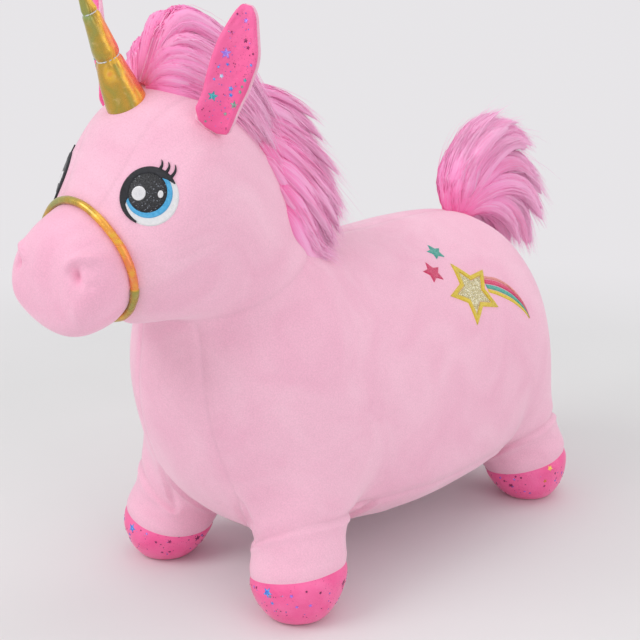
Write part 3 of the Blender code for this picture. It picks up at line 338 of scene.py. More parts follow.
def thread_cloth(name, base, light, rough=0.5, sheen=0.3):
    """Satin-stitch embroidery: fine parallel threads across each strip, with painted shade between them."""
    s = Shade(name, Roughness=rough, Sheen_Weight=sheen, Anisotropic=0.4)
    along = s.add("SeparateXYZ", {"Vector": s.add("UVMap").outputs["UV"]}).outputs["X"]
    waves = s.range(s.math("SINE", s.math("MULTIPLY", along, math.tau / STITCH_PITCH)), -1.0, 1.0)
    uneven = s.noise(420.0, 2.0, 0.6)
    tone = s.mix(s.range(uneven, 0.35, 0.65), base, light)
    # Painted shade: the troughs between the threads are darkened
    tone = s.mix(s.range(waves, 0.0, 0.45, 0.30, 0.0), tone, tuple(c * 0.45 for c in base))
    s.colour(tone)
    s.bump((waves, 0.00022, 0.6), (uneven, 0.0003, 0.3))
    return s.material


def glitter(name, base, painted_glint_tone, metallic, share):
    """Glitter fabric: small flakes that face many ways, a share of them painted bright as glints and some painted
    darker as shade.
    """
    s = Shade(name, Roughness=0.42, Metallic=metallic)
    flakes = s.cells(1500.0)
    pick, other, _ = s.add("SeparateColor", {0: flakes["Color"]}).outputs
    # Painted glints on a share of the flakes, then painted shade on others
    tone = s.mix(s.range(pick, 1.0 - share, 1.0 - share * 0.6), base, painted_glint_tone)
    tone = s.mix(s.range(other, 0.7, 0.9, 0.0, 0.6), tone, tuple(c * 0.3 for c in base))
    s.colour(tone)
    s.rough(s.range(other, 0.0, 1.0, 0.20, 0.55))
    s.bump((flakes["Distance"], 0.0003, 0.6), (pick, 0.0003, 0.6))
    return s.material


def fur_colour(name, streaks, root=FUR_ROOT, middle=FUR_MIDDLE, tip=FUR_TIP):
    """Long-pile fur: deep at the roots, pale at the tips, each lock a little different."""
    s = Shade(
        name, Roughness=0.60, Sheen_Weight=0.45, Sheen_Roughness=0.60, Sheen_Tint=(1.0, 0.38, 0.72, 1.0),
        Specular_IOR_Level=0.20,
    )
    tone = s.ramp(s.attribute("along"), ((0.02, root), (0.40, middle), (0.95, tip)))
    hair = s.attribute("tint")
    tone = s.mix(s.range(hair, 0.50, 1.0, 0.0, 0.80), tone, tip)
    tone = s.mix(s.range(hair, 0.0, 0.42, 0.55, 0.0), tone, root)
    if streaks:
        # Combed streaks, pale on the raised hairs and deep in the grooves: partly the hair's uneven tone, partly
        # painted highlights and painted shade
        combed = s.add("Mapping", {"Vector": s.add("UVMap").outputs["UV"], "Scale": (16.0, 0.9, 1.0)})
        fine = s.noise(1.6, 3.0, 0.6, 0.2, combed.outputs["Vector"])
        tone = s.mix(s.range(fine, 0.52, 0.72, 0.0, 0.65), tone, tip)
        tone = s.mix(s.range(fine, 0.28, 0.46, 0.60, 0.0), tone, root)
        s.bump((fine, 0.0012, 0.55))
    s.colour(tone)
    return s.material


def plain_worked(name, base, other, scale, rough, metallic=0.0, depth=0.0003):
    """A small worked finish: two tones, uneven gloss and fine relief."""
    s = Shade(name, Roughness=rough, Metallic=metallic)
    mottle = s.noise(scale, 3.0, 0.6, 0.4)
    s.colour(s.mix(s.range(mottle, 0.35, 0.65), base, other))
    s.rough(s.range(mottle, 0.3, 0.7, rough * 0.8, min(1.0, rough * 1.25)))
    s.bump((mottle, depth, 0.4), (s.noise(scale * 7.0, 2.0, 0.6), depth / 3, 0.4))
    return s.material


def woven(name, base, dark, pitch):
    """Woven tape: crossed waves at the yarn's pitch, with painted shade in their hollows."""
    s = Shade(name, Roughness=0.85, Sheen_Weight=0.3)
    parts = s.add("SeparateXYZ", {"Vector": s.place()}).outputs
    warp, weft = (s.math("SINE", s.math("MULTIPLY", parts[axis], math.tau / pitch)) for axis in "XY")
    cross = s.range(s.math("MULTIPLY", warp, weft), -1.0, 1.0)
    # Painted shade: where the crossed waves sink, the tape takes its dark tone
    s.colour(s.mix(cross, dark, base))
    s.bump((cross, 0.0002, 0.6), (s.noise(900.0, 2.0), 0.0002, 0.3))
    return s.material


# Stitched threads: the colour, its light side and, for black, roughness and sheen
THREADS = {
    "white": ((0.90, 0.92, 0.95), (0.97, 0.98, 1.0)),
    "blue": ((0.050, 0.42, 0.80), (0.11, 0.54, 0.92)),
    "yellow": ((0.86, 0.60, 0.012), (0.97, 0.76, 0.050)),
    "teal": ((0.035, 0.42, 0.34), (0.12, 0.56, 0.46)),
    "magenta": ((0.78, 0.030, 0.14), (0.90, 0.07, 0.22)),
    "salmon": ((0.86, 0.26, 0.24), (0.95, 0.40, 0.35)),
    "black": ((0.006, 0.007, 0.011), (0.016, 0.018, 0.026), 0.55, 0.0),
}
# Pressed foils, in the order that the star tables count them: two tones, roughness and metallic share
FOILS = {
    "foil_blue": ((0.06, 0.20, 0.85), (0.20, 0.50, 0.95), 0.25, 0.6),
    "foil_violet": ((0.30, 0.14, 0.85), (0.60, 0.40, 0.98), 0.25, 0.6),
    "foil_teal": ((0.03, 0.32, 0.42), (0.14, 0.62, 0.62), 0.25, 0.6),
    "foil_dark": ((0.16, 0.015, 0.08), (0.30, 0.03, 0.14), 0.35, 0.4),
    "foil_sky": ((0.30, 0.55, 0.95), (0.75, 0.88, 1.0), 0.25, 0.5),
    "foil_moss": ((0.16, 0.30, 0.26), (0.30, 0.48, 0.40), 0.3, 0.5),
    "foil_gold": ((0.85, 0.50, 0.06), (0.98, 0.72, 0.20), 0.3, 0.5),
    "foil_copper": ((0.62, 0.16, 0.05), (0.80, 0.28, 0.10), 0.3, 0.5),
}
# The vinyl's pink is only a mask over the bladder, which comes through the cover inside both hind legs, at rest too;
# the part's own vinyl is pale grey
MATERIALS = {
    "plush": velour("velour", (0.950, 0.545, 0.690), (0.975, 0.590, 0.728), (0.922, 0.498, 0.650)),
    "muzzle_plush": velour("muzzle_velour", (0.950, 0.505, 0.665), (0.975, 0.550, 0.705), (0.920, 0.455, 0.620)),
    "foil_pink": foil_pink(),
    "gold_foil": gold_foil(),
    "black_glitter": glitter("black_glitter", (0.006, 0.007, 0.011), (0.20, 0.22, 0.26), 0.0, 0.05),
    "gold_glitter": glitter("gold_glitter", (0.58, 0.50, 0.24), (0.95, 0.92, 0.70), 0.25, 0.45),
    "fur": fur_colour("fur", False),
    "fur_body": fur_colour("fur_body", True),
    "thread": plain_worked("sewing_thread", (0.82, 0.83, 0.84), (0.62, 0.64, 0.66), 900.0, 0.7),
    "vinyl": plain_worked("vinyl", (0.900, 0.480, 0.620), (0.940, 0.540, 0.680), 30.0, 0.38, depth=0.0004),
    "zip_tape": woven("zip_tape", (0.86, 0.48, 0.61), (0.60, 0.28, 0.40), 0.0009),
    "zip_plastic": plain_worked("zip_plastic", (0.84, 0.40, 0.55), (0.76, 0.33, 0.48), 240.0, 0.42),
    "zip_metal": plain_worked("zip_metal", (0.66, 0.66, 0.68), (0.50, 0.50, 0.53), 320.0, 0.33, 1.0),
}
MATERIALS |= {f"{colour}_thread": thread_cloth(f"{colour}_thread", *tones) for colour, tones in THREADS.items()}
MATERIALS |= {name: plain_worked(name, *tones[:2], 500.0, *tones[2:]) for name, tones in FOILS.items()}


# Meshes

def from_table(value, table):
    return float(np.interp(value, *zip(*table)))


def rounded(share):
    """Height share of a rounded edge, from 0 at the edge to 1."""
    return math.sqrt(max(0.0, 1 - (1 - min(1.0, share)) ** 2))


def grid(rows, count, last=None):
    """Four-sided faces between rows of points; the rows run round unless they end before their last point."""
    columns = [(i, (i + 1) % count) for i in range(last or count)]
    lows = [r * count for r in range(rows)]
    return [(low + i, low + k, low + count + k, low + count + i) for low in lows for i, k in columns]


def edges_of(faces):
    """The edges of an array of four-sided faces, one after another by side."""
    return np.concatenate([faces[:, [0, 1]], faces[:, [1, 2]], faces[:, [2, 3]], faces[:, [3, 0]]])


def mesh_from(name, points, faces, smooth=True):
    """A mesh from an array of points and an array, or list, of faces."""
    mesh = bpy.data.meshes.new(name)
    points = np.asarray(points, np.float32)
    if isinstance(faces, np.ndarray):
        mesh.vertices.add(len(points))
        mesh.vertices.foreach_set("co", points.ravel())
        corners = faces.shape[1]
        mesh.loops.add(faces.size)
        mesh.loops.foreach_set("vertex_index", faces.astype(np.int32).ravel())
        mesh.polygons.add(len(faces))
        mesh.polygons.foreach_set("loop_start", np.arange(0, faces.size, corners, dtype=np.int32))
        mesh.update(calc_edges=True)
    else:
        mesh.from_pydata([tuple(map(float, p)) for p in points], [], [tuple(map(int, f)) for f in faces])
    mesh.validate()
    if smooth:
        mesh.shade_smooth()
    return mesh


def linked(name, data):
    obj = bpy.data.objects.new(name, data)
    bpy.context.scene.collection.objects.link(obj)
    return obj


def new_object(name, mesh, materials):
    obj = linked(name, mesh)
    for material in [materials] if isinstance(materials, str) else materials:
        obj.data.materials.append(MATERIALS[material])
    return obj


def finish_piece(obj, body, slot, *nodes, fill=None):
    """Hides the frame's nodes that a piece stands for and rides it on its body, if it has one; its slot and stuffing
    share are not used.
    """
    if nodes:
        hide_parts(*nodes)
    if body:
        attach(obj, body)


def set_attribute(mesh, name, values):
    layer = mesh.attributes.get(name) or mesh.attributes.new(name, "FLOAT", "POINT")
    layer.data.foreach_set("value", np.asarray(values, np.float32))


def set_uv(mesh, name, values):
    mesh.uv_layers.new(name=name).data.foreach_set("uv", values.astype(np.float32).ravel())


def evaluated(obj):
    bpy.context.view_layer.update()
    graph = bpy.context.evaluated_depsgraph_get()
    return bpy.data.meshes.new_from_object(obj.evaluated_get(graph))


def array_of(mesh, what="co"):
    count = len(mesh.vertices)
    found = np.empty(count * 3, np.float32)
    mesh.vertices.foreach_get(what, found)
    return found.reshape(-1, 3).astype(float)


def soft_noise(points, size, seed=0):
    """Smooth value noise from -1 to 1 over an array of points, with features about this size."""
    scaled = np.asarray(points, float) / size + 100.0
    base = np.floor(scaled).astype(np.int64)
    part = scaled - base
    part = part * part * (3 - 2 * part)
    total = np.zeros(len(scaled))
    for corner in range(8):
        offset = np.array([(corner >> k) & 1 for k in range(3)])
        key = base + offset
        mixed = key[:, 0] * 73856093 ^ key[:, 1] * 19349663 ^ key[:, 2] * 83492791 ^ (seed * 2654435761)
        mixed = (mixed ^ (mixed >> 13)) * 1274126177
        value = ((mixed ^ (mixed >> 16)) & 0xFFFF) / 32767.5 - 1.0
        weight = np.where(offset, part, 1 - part).prod(axis=1)
        total += value * weight
    return total


# The form, from the same cage as the part's source

def half_ring(top, bottom, half_width, fullness, number=None):
    points = []
    for step, degrees in enumerate(RING_DEGREES):
        if step == len(RING_DEGREES) - 2:
            degrees = LEG_RING_BELLY_DEGREES.get(number, degrees)
        if step == 1 and number is None:
            degrees = GUSSET_DEGREES
        angle = math.radians(degrees)
        across = half_width * math.sin(angle)
        if degrees > 110:
            across *= fullness
        place = top.lerp(bottom, (1 - math.cos(angle)) / 2)
        points.append(Vector((across, place.y, place.z)))
    return points


def trunk_place(behind, up):
    return Vector((0.0, TRUNK_SET_BACK + behind * TRUNK_LENGTH, up * BACK_HEIGHT))


def head_place(ahead, up):
    forward = NECK_AHEAD + ahead * HEAD_LENGTH
    return Vector((0.0, TRUNK_SET_BACK - forward, NECK_HEIGHT + up * HEAD_HEIGHT))


def neck_place(across, ahead, rise):
    return Vector((across, TRUNK_SET_BACK - NECK_AHEAD - ahead, NECK_HEIGHT + rise))


def all_half_rings():
    rings = []
    for number, (top, bottom, width, fullness) in enumerate(TRUNK_RING_SHARES):
        rings.append(half_ring(trunk_place(*top), trunk_place(*bottom), width * TRUNK_WIDTH / 2, fullness, number))
    for top, bottom, width in HEAD_RING_SHARES:
        rings.append(half_ring(head_place(*top), head_place(*bottom), width * HEAD_WIDTH / 2, 1.0))
    return rings


def leg_rings(hoof_y, direction, rear_tilt):
    heights = {"ankle": ANKLE_HEIGHT, "rim": HOOF_RIM_HEIGHT, "sole": -SOLE_DEPTH}
    rings = []
    for index, (splay, level, size, tilt, inner_tilt) in enumerate(LEG_RING_SHARES):
        radius = size * (ANKLE_DIAMETER if level == "ankle" else HOOF_DIAMETER) / 2
        height = heights[level] * (LOW_RIM_SHARE if index == 2 else 1.0)
        middle_x = HOOF_SPACING / 2 - splay * LEG_SPLAY
        middle_y = hoof_y - direction * splay * LEG_SPLAY
        ring = []
        for degrees in LEG_RING_DEGREES:
            angle = math.radians(degrees)
            out = radius * math.sin(angle)
            behind = -radius * math.cos(angle)
            rise = OUTER_TILT * out * (tilt if out > 0 else inner_tilt) + rear_tilt * behind * tilt
            ring.append(Vector((middle_x + out, middle_y + behind, height + rise)))
        rings.append(ring)
    return rings


def trunk_panel(band, cell):
    if band >= NOSE_BAND:
        return "muzzle_cover"
    if band >= NECK_BAND:
        return "forehead_gusset" if cell == 0 and band >= GUSSET_NUMBER else "head_side"
    under_legs = band in (HIND_LEG_NUMBER, HIND_LEG_NUMBER + 1, FRONT_LEG_NUMBER, FRONT_LEG_NUMBER + 1)
    if cell == 5:
        return "belly_panel" if band <= FRONT_LEG_NUMBER else "chest_gusset"
    if cell == 4 and not under_legs and band < FRONT_LEG_NUMBER:
        return "belly_panel"
    return "trunk_side"


def add_leg(bm, panel, loops, band, rings, kind):
    before, middle, after = loops[band:band + 3]
    edge = [before[3], middle[3], after[3], after[4], after[5], middle[5], before[5], before[4]]
    bm.verts.remove(middle[4])
    names = (kind + "_sleeve", kind + "_sleeve", kind + "_hoof", kind + "_hoof")
    for index, ring in enumerate(rings):
        made = [bm.verts.new(p) for p in ring]
        for j in range(8):
            k = (j + 1) % 8
            face = bm.faces.new((edge[j], edge[k], made[k], made[j]))
            name = "trunk_side" if index == 0 and j not in INNER_LEG_FACES else names[index]
            face[panel] = PANELS.index(name)
        edge = made
    centre = bm.verts.new(sum((v.co for v in edge), Vector()) / 8)
    for j in range(0, 8, 2):
        face = bm.faces.new((edge[j], edge[j + 1], edge[(j + 2) % 8], centre))
        face[panel] = PANELS.index(kind + "_hoof")


def close_end(bm, panel, loop, name):
    for corners in ((0, 1, 5, 6), (1, 2, 4, 5), (2, 3, 4)):
        face = bm.faces.new([loop[c] for c in corners])
        face[panel] = PANELS.index(name)


def smooth_form(levels):
    """The mirrored cage, smoothed this many times, with its panel numbers."""
    bm = bmesh.new()
    panel = bm.faces.layers.int.new("panel")
    loops = [[bm.verts.new(p) for p in ring] for ring in all_half_rings()]
    open_cells = set()
    for band in (HIND_LEG_NUMBER, HIND_LEG_NUMBER + 1, FRONT_LEG_NUMBER, FRONT_LEG_NUMBER + 1):
        open_cells |= {(band, 3), (band, 4)}
    for band in range(len(loops) - 1):
        for cell in range(6):
            if (band, cell) in open_cells:
                continue
            here, there = loops[band], loops[band + 1]
            face = bm.faces.new((here[cell], there[cell], there[cell + 1], here[cell + 1]))
            face[panel] = PANELS.index(trunk_panel(band, cell))
    close_end(bm, panel, loops[0], "trunk_side")
    close_end(bm, panel, loops[-1], "muzzle_cover")
    add_leg(bm, panel, loops, HIND_LEG_NUMBER, leg_rings(REAR_HOOF_Y, 1, HIND_TILT), "hind")
    add_leg(bm, panel, loops, FRONT_LEG_NUMBER, leg_rings(FRONT_HOOF_Y, -1, 0.0), "front")
    bmesh.ops.recalc_face_normals(bm, faces=bm.faces)
    mesh = bpy.data.meshes.new("cage")
    bm.to_mesh(mesh)
    bm.free()
    guide = linked("cage", mesh)
    mirror = guide.modifiers.new("mirror", "MIRROR")
    mirror.merge_threshold = 0.0001
    mirror.use_clip = True
    smooth = guide.modifiers.new("smooth", "SUBSURF")
    smooth.levels = smooth.render_levels = levels
    made = evaluated(guide)
    bpy.data.objects.remove(guide)
    return made


class Cover:
    """The dressed cover's points, normals, four-sided faces and the piece that each face is in."""

    def __init__(self, mesh):
        self.points = array_of(mesh)
        self.normals = array_of(mesh, "normal")
        faces = np.empty(len(mesh.polygons) * 4, np.int32)
        mesh.loops.foreach_get("vertex_index", faces)
        self.faces = faces.reshape(-1, 4)
        panel = np.empty(len(self.faces), np.int32)
        mesh.attributes["panel"].data.foreach_get("value", panel)
        middle = self.points[self.faces].mean(axis=1)
        sided = np.array([name in SIDED for name in PANELS])[panel]
        self.piece = panel * 3 + np.where(sided, np.where(middle[:, 0] > 0, 1, 2), 0)
        self.find_seams()

    def find_seams(self):
        """Distance from each point to the nearest seam, and that seam's nearest place and kind."""
        owner = np.tile(np.arange(len(self.faces)), 4)
        order = np.sort(edges_of(self.faces), axis=1)
        key = order[:, 0].astype(np.int64) * len(self.points) + order[:, 1]
        rank = np.argsort(key, kind="stable")
        key, owner, order = key[rank], owner[rank], order[rank]
        first = np.flatnonzero(key[:-1] == key[1:])
        one, two = self.piece[owner[first]], self.piece[owner[first + 1]]
        seam = first[one != two]
        pairs = order[seam]
        kinds = np.stack([self.piece[owner[seam]], self.piece[owner[seam + 1]]], axis=1) // 3
        steps = np.linspace(0, 1, 5)[:-1]
        a, b = self.points[pairs[:, 0]], self.points[pairs[:, 1]]
        spots = (a[:, None] + (b - a)[:, None] * steps[None, :, None]).reshape(-1, 3)
        kinds = np.repeat(kinds, len(steps), axis=0)
        tree = KDTree(len(spots))
        for i, spot in enumerate(spots):
            tree.insert(spot, i)
        tree.balance()
        count = len(self.points)
        self.seam = np.empty(count)
        self.seam_spot = np.empty((count, 3))
        self.seam_kind = np.empty((count, 2), int)
        for i, point in enumerate(self.points):
            place, index, distance = tree.find(point)
            self.seam[i] = distance
            self.seam_spot[i] = place
            self.seam_kind[i] = kinds[index]

    def beside(self, *names):
        """Which points have one of these panels at their nearest seam."""
        return np.isin(self.seam_kind, [PANELS.index(name) for name in names]).any(axis=1)

    def of(self, name, side=0):
        number = PANELS.index(name) * 3 + (0 if name not in SIDED else 1 if side > 0 else 2)
        return self.faces[self.piece == number]

    def tree(self, faces):
        return BVHTree.FromPolygons([Vector(p) for p in self.points], faces.tolist())

    def renew_normals(self):
        mesh = mesh_from("measure", self.points, self.faces)
        self.normals = array_of(mesh, "normal")
        bpy.data.meshes.remove(mesh)


# The left nostril's pit and the fold over it, each as places with the height there; the right one is mirrored and
# stands a little nearer the middle, as sewn by hand
NOSTRIL_SHIFT = 0.0095
NOSTRIL_PIT = (
    ((0.0338, -0.3078, 0.3068), -0.0034), ((0.0350, -0.3074, 0.3036), -0.0050),
    ((0.0366, -0.3068, 0.3002), -0.0038), ((0.0392, -0.3050, 0.2970), -0.0018),
    ((0.0440, -0.3005, 0.2952), -0.0012),
)
NOSTRIL_FOLD = (
    ((0.0278, -0.3095, 0.3088), 0.0018), ((0.0312, -0.3072, 0.3124), 0.0034),
    ((0.0352, -0.3030, 0.3142), 0.0043), ((0.0395, -0.2985, 0.3132), 0.0035),
    ((0.0440, -0.2925, 0.3142), 0.0023), ((0.0480, -0.2860, 0.3168), 0.0010),
)
BROW_PLACE = (0.0, -0.244, 0.397)
BROW_SIZE = (0.020, 0.015, 0.016)
BROW_HEIGHT = 0.0045
# How the bladder lies under the cover: depth, wall, and how much further in its legs and its rump stand
BLADDER_DEPTH = 0.0036
BLADDER_WALL = 0.0020
BLADDER_LEG_DEPTH = 0.0150
BLADDER_LEG_HEIGHT = 0.062
BLADDER_LEG_REACH = 0.030
BLADDER_HOLLOW = (0.0, 0.215, 0.240)
BLADDER_HOLLOW_SIZE = (0.055, 0.060, 0.055)
BLADDER_HOLLOW_DEPTH = 0.0200
# The lowest that each layer reaches over the floor
SKIN_FLOOR, LINING_FLOOR, BLADDER_FLOOR, BLADDER_INNER_FLOOR = 0.0002, 0.0012, 0.0034, 0.0054


def mound(points, place, size):
    """1 at a place, falling away softly over these distances along x, y and z."""
    return np.exp(-(((points - place) / size) ** 2).sum(axis=1))


def dress(cover):
    """Sinks the seams, puckers the cloth beside them and gives the panels their soft unevenness."""
    p, n = cover.points, cover.normals
    hoof = cover.beside("front_hoof", "hind_hoof")
    gusset = cover.beside("forehead_gusset") & ~cover.beside("muzzle_cover")
    depth = np.where(hoof, HOOF_SEAM_DEPTH, np.where(gusset, GUSSET_SEAM_DEPTH, SEAM_DEPTH))
    near = np.exp(-(cover.seam / SEAM_WIDTH) ** 2)
    pucker = soft_noise(cover.seam_spot, 0.0075, 3) * 0.6 + soft_noise(cover.seam_spot, 0.017, 4) * 0.6
    reach = np.exp(-(cover.seam / PUCKER_REACH) ** 2)
    size = np.where(hoof, HOOF_PUCKER_HEIGHT, np.where(gusset, GUSSET_PUCKER_HEIGHT, PUCKER_HEIGHT))
    move = -depth * near + size * pucker * reach * (1 - 0.6 * near)
    swell = np.exp(-((cover.seam - PUCKER_REACH) / 0.006) ** 2)
    move += np.where(hoof | gusset, SMALL_SWELL_HEIGHT, SWELL_HEIGHT) * swell
    dents = soft_noise(p * (1.0, 1.0, 0.7), DENT_SIZE, 2)
    move += WIDE_HEIGHT * soft_noise(p, WIDE_SIZE, 1) + DENT_HEIGHT * dents
    legs = np.clip((LEG_FOLD_TOP - p[:, 2]) / 0.05, 0, 1) * np.clip(p[:, 2] / 0.03, 0, 1)
    folds = soft_noise(p * (1.0, 1.0, 2.6), LEG_FOLD_SIZE, 5)
    move += LEG_FOLD_HEIGHT * legs * folds
    ankle = cover.beside("front_sleeve", "hind_sleeve") & ~hoof
    below = np.clip((cover.seam_spot[:, 2] - p[:, 2]) / 0.0015, -1, 1)
    fold = np.exp(-((cover.seam - 0.0042) / 0.0028) ** 2) * np.clip(below, 0, 1)
    move += ankle * (ANKLE_FOLD_HEIGHT * fold - ANKLE_FOLD_SINK * near)
    for shift, side in ((0.0, 1), (NOSTRIL_SHIFT, -1)):
        for route, width in ((NOSTRIL_PIT, 0.0030), (NOSTRIL_FOLD, 0.0033)):
            for place, height in route:
                centre = np.array((side * place[0] + shift, place[1], place[2]))
                away = ((p - centre) * (1.0, 0.6, 1.0) / width) ** 2
                move += height * np.exp(-away.sum(axis=1))
    move += BROW_HEIGHT * mound(p, BROW_PLACE, BROW_SIZE)
    floor = np.clip(p[:, 2] / 0.004, 0, 1)
    cover.points = p + n * (move * floor)[:, None]
    cover.points[:, 2] = np.maximum(cover.points[:, 2], SKIN_FLOOR)
    cover.renew_normals()


def two_skins(name, outer, inner, faces, walls, material):
    """A closed body between an outer and an inner skin of the same faces."""
    all_faces = np.concatenate([faces, faces[:, ::-1] + len(outer), walls])
    return new_object(name, mesh_from(name, np.concatenate([outer, inner]), all_faces), material)


def shell(name, cover, faces, material):
    """One cover panel as a closed cloth shell, its edges turned in at the seams."""
    used, index = np.unique(faces, return_inverse=True)
    top = index.reshape(-1, 4)
    count = len(used)
    outer = cover.points[used]
    way = cover.normals[used]
    inner = outer - way * CLOTH_THICKNESS
    inner[:, 2] = np.maximum(inner[:, 2], LINING_FLOOR)
    edges = edges_of(top)
    key = edges[:, 0].astype(np.int64) * count + edges[:, 1]
    back = edges[:, 1].astype(np.int64) * count + edges[:, 0]
    rim = edges[~np.isin(key, back)]
    walls = np.stack([rim[:, 1], rim[:, 0], rim[:, 0] + count, rim[:, 1] + count], axis=1)
    obj = two_skins(name, outer, inner, top, walls, material)
    set_attribute(obj.data, "seam", np.tile(cover.seam[used], 2))
    # The outside is shaded as one skin across the seams
    obj.data.normals_split_custom_set_from_vertices(np.concatenate([way, -way]))
    return obj


def leg_blend(obj):
    """Bakes the leg's cloth in place, in its own mesh."""
    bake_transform(obj)


def cover_pieces(cover):
    for side, word in SIDES:
        for panel in ("trunk_side", "belly_panel", "head_side"):
            obj = shell(f"plush_{panel}_{word}", cover, cover.of(panel, side), "plush")
            finish_piece(obj, "toy", "plush", f"{panel}_{word}", fill=0.9)
        for kind, tilt, hoof_y in (("front", 0.0, FRONT_HOOF_Y), ("hind", HIND_TILT, REAR_HOOF_Y)):
            obj = shell(f"plush_sleeve_{kind}_{word}", cover, cover.of(kind + "_sleeve", side), "plush")
            finish_piece(obj, None, "plush", f"leg_sleeve_{kind}_{word}", fill=0.8)
            leg_blend(obj)
            obj = shell(f"foil_hoof_{kind}_{word}", cover, cover.of(kind + "_hoof", side), "foil_pink")
            finish_piece(obj, "feet", "foil_pink", f"hoof_cover_{kind}_{word}", fill=0.8)
    for panel, material in (
        ("chest_gusset", "plush"), ("forehead_gusset", "plush"), ("muzzle_cover", "muzzle_plush"),
    ):
        obj = shell("plush_" + panel, cover, cover.of(panel), material)
        finish_piece(obj, "toy", material, panel, fill=0.9)


def inner_bladder(cover):
    """The vinyl animal under the cover, set in deeper at its legs and its rump."""
    # The legs are set in further, which brings the bladder out through the cover inside the hind legs, an open
    # fault; the rump is set in so that the fur doesn't reach it as it is pressed down
    leg = np.exp(-((cover.points[:, 2] - BLADDER_LEG_HEIGHT) / BLADDER_LEG_REACH) ** 2)
    rump = mound(cover.points, BLADDER_HOLLOW, BLADDER_HOLLOW_SIZE)
    depth = BLADDER_DEPTH + BLADDER_LEG_DEPTH * leg + BLADDER_HOLLOW_DEPTH * rump
    outer = cover.points - cover.normals * depth[:, None]
    outer[:, 2] = np.maximum(outer[:, 2], BLADDER_FLOOR)
    inner = outer - cover.normals * BLADDER_WALL
    inner[:, 2] = np.maximum(inner[:, 2], BLADDER_INNER_FLOOR)
    obj = two_skins("vinyl_bladder", outer, inner, cover.faces, np.empty((0, 4), int), "vinyl")
    finish_piece(obj, None, "vinyl", "bladder")
    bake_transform(obj)


# Embroidery and prints on the skin

class Skin:
    """The dressed cover's outside, to place things on."""

    def __init__(self, tree):
        self.tree = tree

    def hit(self, start, direction):
        place, normal, _, _ = self.tree.ray_cast(Vector(start), Vector(direction).normalized())
        return place, normal

    def nearest(self, point):
        place, normal, _, _ = self.tree.find_nearest(Vector(point))
        return place, normal

    def raised(self, point, least):
        """The point, or one over it that stands this high above the skin."""
        place, normal = self.nearest(point)
        return point + normal * max(0.0, least - (point - place).dot(normal))


class Patch:
    """A part of the skin seen flat, with a middle, a normal and axes to the right and up."""

    def __init__(self, skin, start, direction):
        self.skin = skin
        self.middle, self.normal = skin.hit(start, direction)
        self.right = Vector((0, 0, 1)).cross(self.normal).normalized()
        self.up = self.normal.cross(self.right)

    def place(self, u, v, height):
        start = self.middle + self.right * u + self.up * v + self.normal * 0.04
        found, normal = self.skin.hit(start, -self.normal)
        return found + (normal * 0.5 + self.normal * 0.5).normalized() * height


STITCH_EDGE = 0.16
STITCH_SINK = 0.0004
STITCH_UNDERSIDE = 0.0010


def pad_profile(t):
    """Height share across a satin-stitched strip: round at both edges."""
    return rounded(min(t, 1 - t) / STITCH_EDGE)


def strip(name, patch, outer, inner, height, material, base=0.0001, rows=8, closed=True, flat=0.35, capped=False):
    """A raised strip between two outlines of equal count, as a closed body on the skin; capped, it has no hole."""
    count = len(outer)
    points, uv = [], []
    length = [0.0]
    for i in range(count):
        a, b = outer[i], outer[(i + 1) % count]
        length.append(length[-1] + math.dist(a, b))
    for r in range(rows + 1):
        t = r / rows
        full = 0 < r < rows or capped and r == rows
        arch = pad_profile(t / 2 if capped else t)
        rise = base + height * (flat + (1 - flat) * arch) if full else base - STITCH_SINK
        for i in range(count):
            u = outer[i][0] + (inner[i][0] - outer[i][0]) * t
            v = outer[i][1] + (inner[i][1] - outer[i][1]) * t
            points.append(patch.place(u, v, rise))
            uv.append((length[i], t))
    last = count if closed else count - 1
    upper = grid(rows, count, last)
    top = len(points)
    faces = upper + [(top + a, top + d, top + c, top + b) for a, b, c, d in upper]
    for r in range(rows + 1):
        for i in range(count):
            down = STITCH_SINK if r in (0, rows) else STITCH_UNDERSIDE
            points.append(Vector(points[r * count + i]) - patch.normal * down)
            uv.append(uv[r * count + i])
    rims = [(0, 1)] if capped else [(0, 1), (rows, -1)]
    if capped:
        faces.append(tuple(rows * count + i for i in range(count)))
        faces.append(tuple(top + rows * count + i for i in range(count)))
    for r, way in rims:
        for i in range(last):
            k = (i + 1) % count
            a, b = r * count + i, r * count + k
            quad = (b, a, top + a, top + b)
            faces.append(quad if way > 0 else quad[::-1])
    if not closed:
        for r in range(rows):
            a, b = r * count, (r + 1) * count
            faces.append((a, b, top + b, top + a))
            a, b = a + count - 1, b + count - 1
            faces.append((b, a, top + a, top + b))
    mesh = mesh_from(name, points, faces)
    layer = mesh.uv_layers.new(name="UVMap")
    for loop in mesh.loops:
        layer.data[loop.index].uv = uv[loop.vertex_index]
    fix_normals(mesh)
    return new_object(name, mesh, material)


def fix_normals(mesh):
    bm = bmesh.new()
    bm.from_mesh(mesh)
    bmesh.ops.recalc_face_normals(bm, faces=bm.faces)
    bm.to_mesh(mesh)
    bm.free()


def ring(centre, radius, count=72, squeeze=1.0):
    angles = [math.tau * i / count for i in range(count)]
    return [(centre[0] + radius * squeeze * math.cos(a), centre[1] + radius * math.sin(a)) for a in angles]


def shrunk(outline, share):
    u = sum(p[0] for p in outline) / len(outline)
    v = sum(p[1] for p in outline) / len(outline)
    return [(u + (a - u) * share, v + (b - v) * share) for a, b in outline]


def mm(*values):
    return tuple(v / 1000 for v in values)


# The right eye is sewn on this much further to the rear
RIGHT_EYE_BACK = 0.009
EYE_WHITE = (mm(0, 0), 0.0203)
EYE_IRIS = (mm(-0.9, 2.2), 0.0170)
EYE_PUPIL = (mm(-2.0, 3.1), 0.0146)
EYE_GLINT = (mm(-7.9, 2.2), 0.0056, 40)
EYE_SMALL_GLINT = (mm(7.7, 2.0), 0.0030, 28, 0.74)
# The lid's outer edge, its width at degrees round it as shares of what lies between it and the pupil, and how far
# it reaches over the pupil
LID_MIDDLE, LID_RADIUS = mm(-1.3, 0.9), 0.0206
LID_SHARES = ((26, 0.12), (58, 1.0), (186, 1.0), (202, 0.46), (249, 0.16))
LID_STEPS = 72
LID_OVERLAP = 0.0018
